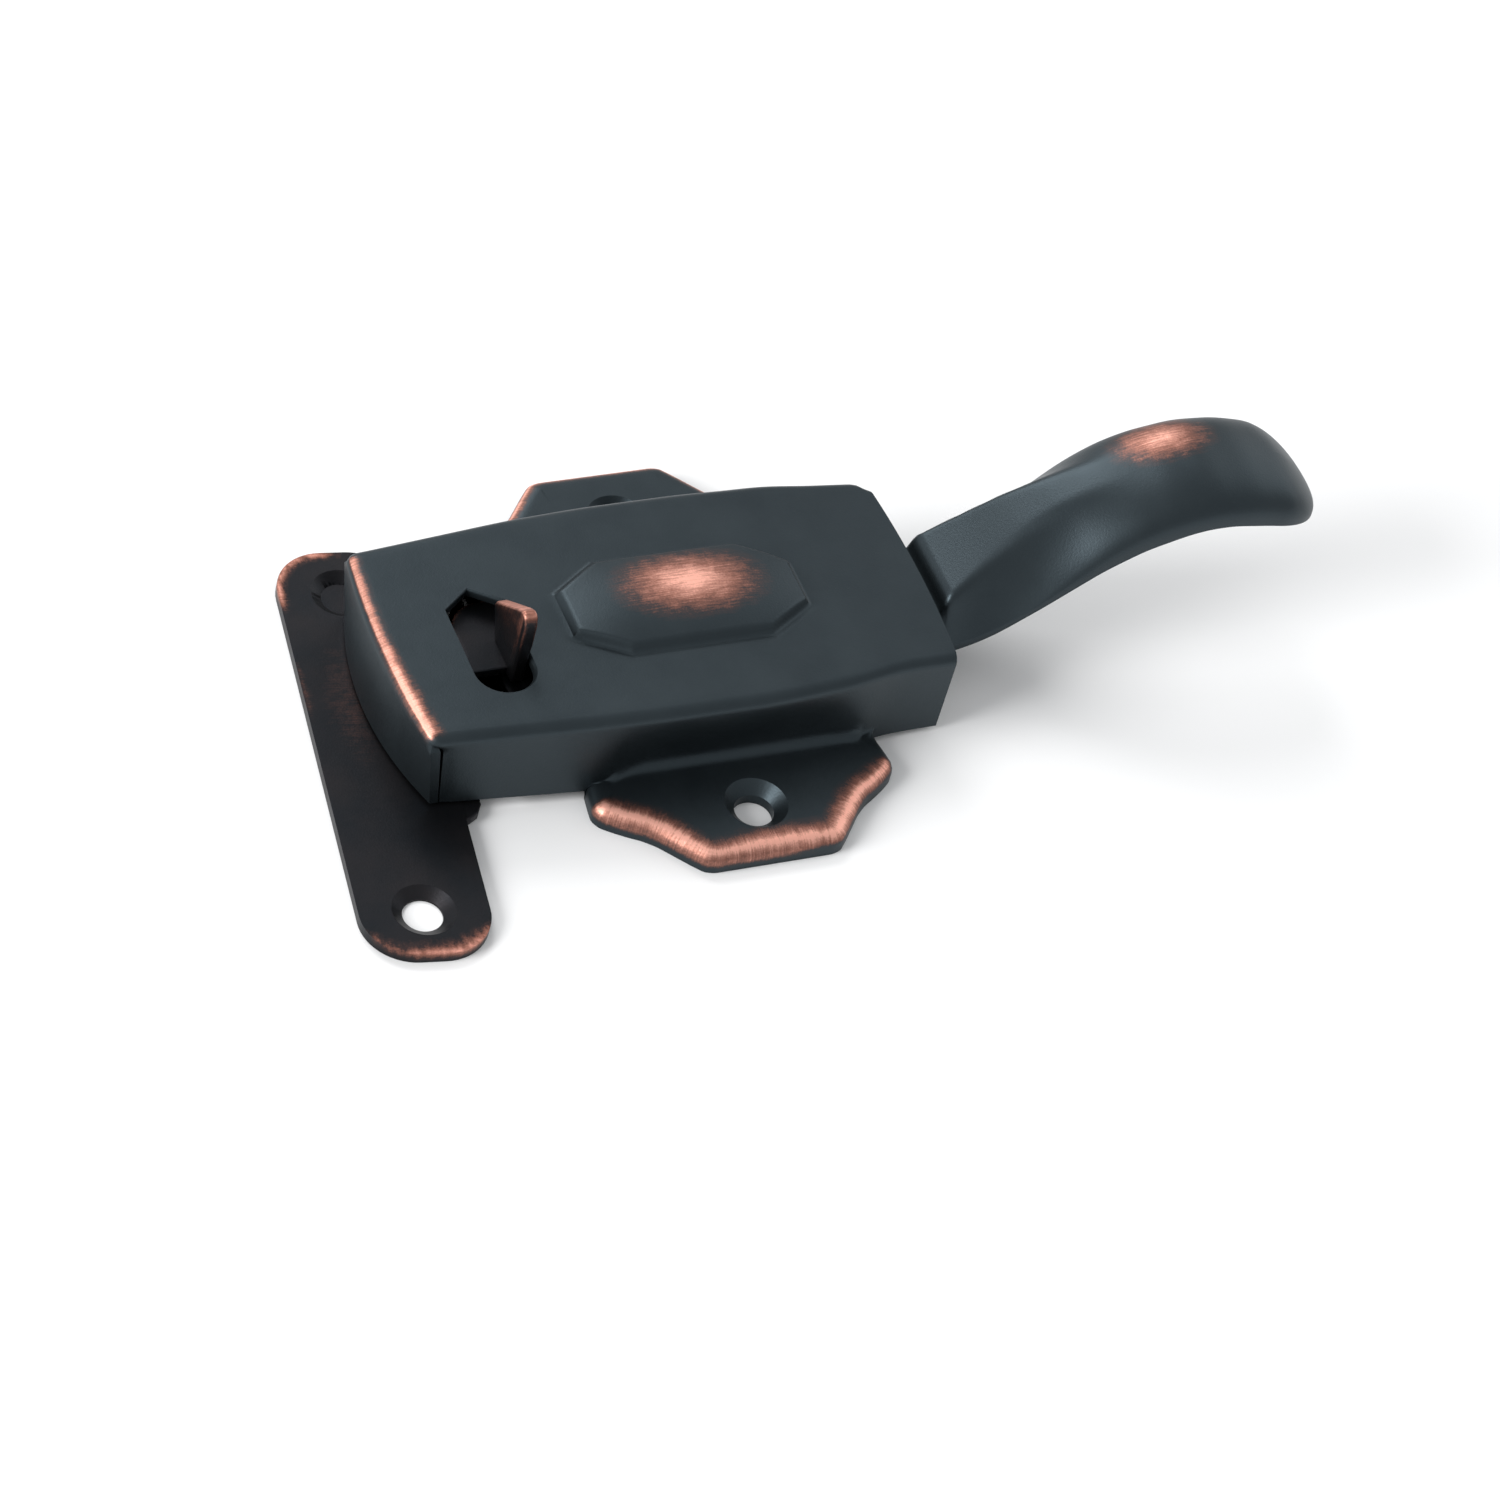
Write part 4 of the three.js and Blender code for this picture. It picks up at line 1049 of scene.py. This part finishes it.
def rubbed_group():
    """Where a finish is rubbed through: a worn line broken up by short strokes and fine specks."""
    tree, given = shader_group("rubbed_through", {
        "Lengthwise": 0.0, "Crosswise": 0.0, "Wear": 0.0,
        "Strokes": 3.0, "Stroke length": 0.5, "Stroke strength": 0.5, "Speck strength": 0.25, "Softness": 0.3,
    }, ["Rubbed", "Stroke"])
    fine = maths(tree, "MULTIPLY", given["Lengthwise"], given["Strokes"])
    slow = maths(tree, "MULTIPLY", given["Crosswise"], given["Stroke length"])
    stroke = noise(tree, vector(tree, X=fine, Y=slow), 1.0, 3.0, 0.6)
    speck = noise(tree, given["Place"], 5200.0, 2.0, 0.6)
    patch = noise(tree, given["Place"], 900.0, 2.0, 0.5)
    uneven = maths(tree, "MULTIPLY", maths(tree, "SUBTRACT", stroke, 0.5), given["Stroke strength"])
    uneven = maths(tree, "MULTIPLY_ADD", maths(tree, "SUBTRACT", speck, 0.5), given["Speck strength"], uneven)
    uneven = maths(tree, "MULTIPLY_ADD", maths(tree, "SUBTRACT", patch, 0.5), 0.3, uneven)
    near = maths(tree, "MULTIPLY", given["Wear"], 5.0, clamp=True)
    pushed = maths(tree, "MULTIPLY_ADD", uneven, near, given["Wear"])
    scaled = maths(tree, "DIVIDE", maths(tree, "SUBTRACT", pushed, 0.5), given["Softness"])
    node(tree, "NodeGroupOutput", {"Rubbed": maths(tree, "ADD", scaled, 0.5, clamp=True), "Stroke": stroke})
    return tree


def grain_group():
    """Fine satin grain: light specks for the colour and a height for the bump."""
    tree, given = shader_group("satin_grain", {"Grain size": 0.25, "Speck share": 0.3}, ["Specks", "Height"])
    scale = maths(tree, "DIVIDE", 1 / MM, given["Grain size"])
    fine = noise(tree, given["Place"], scale, 3.0, 0.65)
    edge = maths(tree, "SUBTRACT", 0.86, maths(tree, "MULTIPLY", given["Speck share"], 0.5))
    specks = maths(tree, "MULTIPLY", maths(tree, "SUBTRACT", fine, edge), 9.0, clamp=True)
    node(tree, "NodeGroupOutput", {"Specks": specks, "Height": fine})
    return tree


def mottle_group():
    """Slow uneven patches, from 0 to 1."""
    tree, given = shader_group("mottle", {"Patch size": 6.0, "Contrast": 2.0}, ["Patch"])
    scale = maths(tree, "DIVIDE", 1 / MM, given["Patch size"])
    slow = noise(tree, given["Place"], scale, 4.0, 0.6)
    swing = maths(tree, "SUBTRACT", slow, 0.5)
    spread = maths(tree, "MULTIPLY_ADD", swing, given["Contrast"], 0.5, clamp=True)
    node(tree, "NodeGroupOutput", {"Patch": spread})
    return tree


def blend_colour(tree, share, first, second):
    made = node(tree, "ShaderNodeMix", {"Factor": share}, data_type="RGBA")
    for socket, value in ((made.inputs[6], first), (made.inputs[7], second)):
        feed(tree, socket, (*value, 1.0) if isinstance(value, tuple) else value)
    return made.outputs[2]


def new_material(name):
    made = bpy.data.materials.new(name)
    made.use_nodes = True
    tree = made.node_tree
    tree.nodes.clear()
    shader = tree.nodes.new("ShaderNodeBsdfPrincipled")
    node(tree, "ShaderNodeOutputMaterial", {"Surface": shader})
    place = node(tree, "ShaderNodeTexCoord").outputs["Object"]
    return made, tree, shader, place


def coated_metal(name, groups, look):
    """A dark finish over copper that shows where the piece is rubbed."""
    made, tree, shader, place = new_material(name)
    rub = node(tree, "ShaderNodeAttribute", attribute_name="rub", attribute_type="GEOMETRY")
    part = node(tree, "ShaderNodeSeparateXYZ", {"Vector": rub.outputs["Vector"]}).outputs
    rubbed = placed_group(tree, groups["rubbed"], place, {
        "Lengthwise": part["X"], "Crosswise": part["Y"], "Wear": part["Z"],
        "Strokes": 5.0, "Stroke length": 0.4, "Stroke strength": 0.42, "Speck strength": 0.3,
        "Softness": look["softness"],
    })
    grain = placed_group(tree, groups["grain"], place, {"Grain size": 0.22, "Speck share": look["specks"]})
    patch = placed_group(tree, groups["mottle"], place, {"Patch size": 7.0, "Contrast": 2.2})["Patch"]
    dark = blend_colour(tree, patch, look["dark"], look["dark_patch"])
    specks = maths(tree, "MULTIPLY", grain["Specks"], look["speck_strength"])
    dark = blend_colour(tree, specks, dark, look["speck"])
    halo = maths(tree, "MULTIPLY", rubbed["Rubbed"], 1.7, clamp=True)
    bright = maths(tree, "MULTIPLY", maths(tree, "SUBTRACT", rubbed["Rubbed"], 0.2), 1.35, clamp=True)
    depth = maths(tree, "MULTIPLY_ADD", maths(tree, "SUBTRACT", rubbed["Stroke"], 0.5), 0.9, bright)
    depth = maths(tree, "MULTIPLY", maths(tree, "SUBTRACT", depth, 0.3), 1.5, clamp=True)
    copper = blend_colour(tree, depth, look["copper_deep"], look["copper"])
    colour = blend_colour(tree, halo, dark, look["brown"])
    colour = blend_colour(tree, bright, colour, copper)
    feed(tree, shader.inputs["Base Color"], colour)
    metal = maths(tree, "MULTIPLY_ADD", bright, 1 - look["metallic"], look["metallic"])
    feed(tree, shader.inputs["Metallic"], metal)
    rough = maths(tree, "MULTIPLY_ADD", patch, 0.08, look["roughness"])
    rough = maths(tree, "MULTIPLY_ADD", bright, look["copper_roughness"] - look["roughness"], rough)
    feed(tree, shader.inputs["Roughness"], rough)
    shader.inputs["Specular IOR Level"].default_value = look["specular"]
    brushed = maths(tree, "MULTIPLY", bright, 0.6)
    height = maths(tree, "MULTIPLY_ADD", rubbed["Stroke"], brushed, grain["Height"])
    bump = node(tree, "ShaderNodeBump", {"Strength": look["bump"], "Distance": 0.00006, "Height": height})
    feed(tree, shader.inputs["Normal"], bump)
    return made


def plain_metal(name, groups, colour, tint, roughness, metallic, grain_size):
    """Zinc plating or bare spring steel, slightly clouded and finely grained."""
    made, tree, shader, place = new_material(name)
    grain = placed_group(tree, groups["grain"], place, {"Grain size": grain_size, "Speck share": 0.5})
    patch = placed_group(tree, groups["mottle"], place, {"Patch size": 3.5, "Contrast": 2.0})["Patch"]
    base = blend_colour(tree, patch, colour, tint)
    specks = maths(tree, "MULTIPLY", grain["Specks"], 0.25)
    feed(tree, shader.inputs["Base Color"], blend_colour(tree, specks, base, tint))
    feed(tree, shader.inputs["Roughness"], maths(tree, "MULTIPLY_ADD", patch, 0.12, roughness))
    shader.inputs["Metallic"].default_value = metallic
    bump = node(tree, "ShaderNodeBump", {"Strength": 0.2, "Distance": 0.00004, "Height": grain["Height"]})
    feed(tree, shader.inputs["Normal"], bump)
    return made


BRONZE = dict(
    dark=(0.036, 0.047, 0.054), dark_patch=(0.041, 0.053, 0.060), speck=(0.12, 0.14, 0.15),
    speck_strength=0.4, specks=0.3, brown=(0.12, 0.065, 0.055), copper=(0.90, 0.47, 0.37),
    copper_deep=(0.52, 0.21, 0.145),
    metallic=0.92, roughness=0.39, copper_roughness=0.47, specular=0.4, bump=0.3, softness=0.85,
)
DARK_BRONZE = dict(
    BRONZE, dark=(0.018, 0.021, 0.025), dark_patch=(0.027, 0.025, 0.027), speck=(0.12, 0.09, 0.085),
    speck_strength=0.5, specks=0.34, brown=(0.11, 0.055, 0.045), copper=(0.74, 0.36, 0.28),
    roughness=0.38, softness=0.8,
)
# Painted shade: a near-black copy of the dark bronze for the parts deep under the cover, darkened to stand in
# for the shadow they sit in.
SHADED_INSIDE_BRONZE = dict(DARK_BRONZE, dark=(0.008, 0.009, 0.011), dark_patch=(0.011, 0.011, 0.012))
PLATED = dict(
    colour=(0.56, 0.57, 0.55), tint=(0.48, 0.48, 0.45), roughness=0.34, metallic=0.95, grain_size=0.18,
)
SPRING = dict(
    colour=(0.34, 0.36, 0.38), tint=(0.26, 0.27, 0.29), roughness=0.26, metallic=1.0, grain_size=0.12,
)


# Stage

CAMERA_AIM = (0.18, -15.47, 5.51)
CAMERA_DISTANCE = 584.7
CAMERA_AZIMUTH = radians(-34.08)
CAMERA_ELEVATION = radians(45.82)
CAMERA_ROLL = radians(17.13)
CAMERA_LENS = 144.0
LIGHTS = [
    dict(name="behind", place=(-0.15, 1.0, 0.9), size=0.7, power=8.0),
    dict(name="left", place=(-1.0, -0.1, 0.5), size=0.6, power=13.0),
    dict(name="right", place=(0.9, 0.35, 0.5), aim=(0.05, 0, 0), size=0.9, power=2.2),
]
WORLD_COLOUR, WORLD_STRENGTH = (0.97, 0.985, 1.0, 1.0), 0.6
FLOOR_HALF, FLOOR_Z = 6000, -0.05


def add_camera():
    turn = Matrix.Rotation(CAMERA_AZIMUTH, 4, "Z") @ Matrix.Rotation(pi / 2 - CAMERA_ELEVATION, 4, "X")
    turn = turn @ Matrix.Rotation(CAMERA_ROLL, 4, "Z")
    lens = bpy.data.cameras.new("camera")
    lens.lens, lens.sensor_width = CAMERA_LENS, 36.0
    lens.clip_start, lens.clip_end = 0.01, 50.0
    camera = bpy.data.objects.new("camera", lens)
    place = Vector(CAMERA_AIM) * MM + turn.to_3x3().col[2] * CAMERA_DISTANCE * MM
    camera.matrix_world = Matrix.Translation(place) @ turn
    bpy.context.scene.collection.objects.link(camera)
    bpy.context.scene.camera = camera


def add_light(name, place, size, power, aim=(0, 0, 0)):
    lamp = bpy.data.lights.new(name, "AREA")
    lamp.shape, lamp.size, lamp.energy = "DISK", size, power
    made = bpy.data.objects.new(name, lamp)
    made.location = place
    made.rotation_mode = "QUATERNION"
    made.rotation_quaternion = (Vector(aim) - Vector(place)).to_track_quat("-Z", "Y")
    bpy.context.scene.collection.objects.link(made)


def add_world():
    world = bpy.data.worlds.new("studio")
    bpy.context.scene.world = world
    world.use_nodes = True
    background = world.node_tree.nodes["Background"]
    background.inputs["Color"].default_value = WORLD_COLOUR
    background.inputs["Strength"].default_value = WORLD_STRENGTH


def add_stage():
    corners = [(a * FLOOR_HALF, b * FLOOR_HALF, FLOOR_Z) for a, b in ((-1, -1), (1, -1), (1, 1), (-1, 1))]
    floor = mesh_object("floor", corners, [[0, 1, 2, 3]])
    paper, tree, shader, place = new_material("floor_paper")
    pale = blend_colour(tree, noise(tree, place, 40.0, 3.0), (0.86, 0.86, 0.86), (0.88, 0.88, 0.88))
    feed(tree, shader.inputs["Base Color"], pale)
    shader.inputs["Roughness"].default_value = 0.9
    shader.inputs["Specular IOR Level"].default_value = 0.1
    floor.data.materials.append(paper)
    add_world()
    for light in LIGHTS:
        add_light(**light)
    bpy.context.scene.view_settings.view_transform = "Standard"
    bpy.context.scene.view_settings.look = "None"


def build():
    groups = {"rubbed": rubbed_group(), "grain": grain_group(), "mottle": mottle_group()}
    bronze = coated_metal("bronze", groups, BRONZE)
    dark_bronze = coated_metal("dark_bronze", groups, DARK_BRONZE)
    plated = plain_metal("plated_steel", groups, **PLATED)
    spring = plain_metal("spring_steel", groups, **SPRING)
    cover_piece(bronze)
    handle_piece(bronze)
    lock_piece(dark_bronze)
    strike_piece(dark_bronze)
    spring_piece(spring)
    rivets = rivet_tree(plated)
    rivet_piece("nose_rivets", ["nose_rivet_front", "nose_rivet_rear"], "bolt", rivets, plated)
    rivet_piece("bridge_rivets", ["bridge_rivet_front", "bridge_rivet_rear"], "case", rivets, plated)
    # Painted shade: the bolt plate, bolt nose and lock bridge take the darker copy of the bronze, standing in
    # for the shadow under the cover.
    inside = coated_metal("painted_shade_bronze", groups, SHADED_INSIDE_BRONZE)
    finishes = dict.fromkeys(["pin_clip_front", "pin_clip_rear", "rod_clip"], spring)
    finishes.update(dict.fromkeys(["bolt_plate", "bolt_nose", "lock_bridge"], inside))
    for name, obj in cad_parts.items():
        if not obj.hide_render:
            obj.data.materials.clear()
            obj.data.materials.append(finishes.get(name, plated))


add_stage()
add_camera()
build()
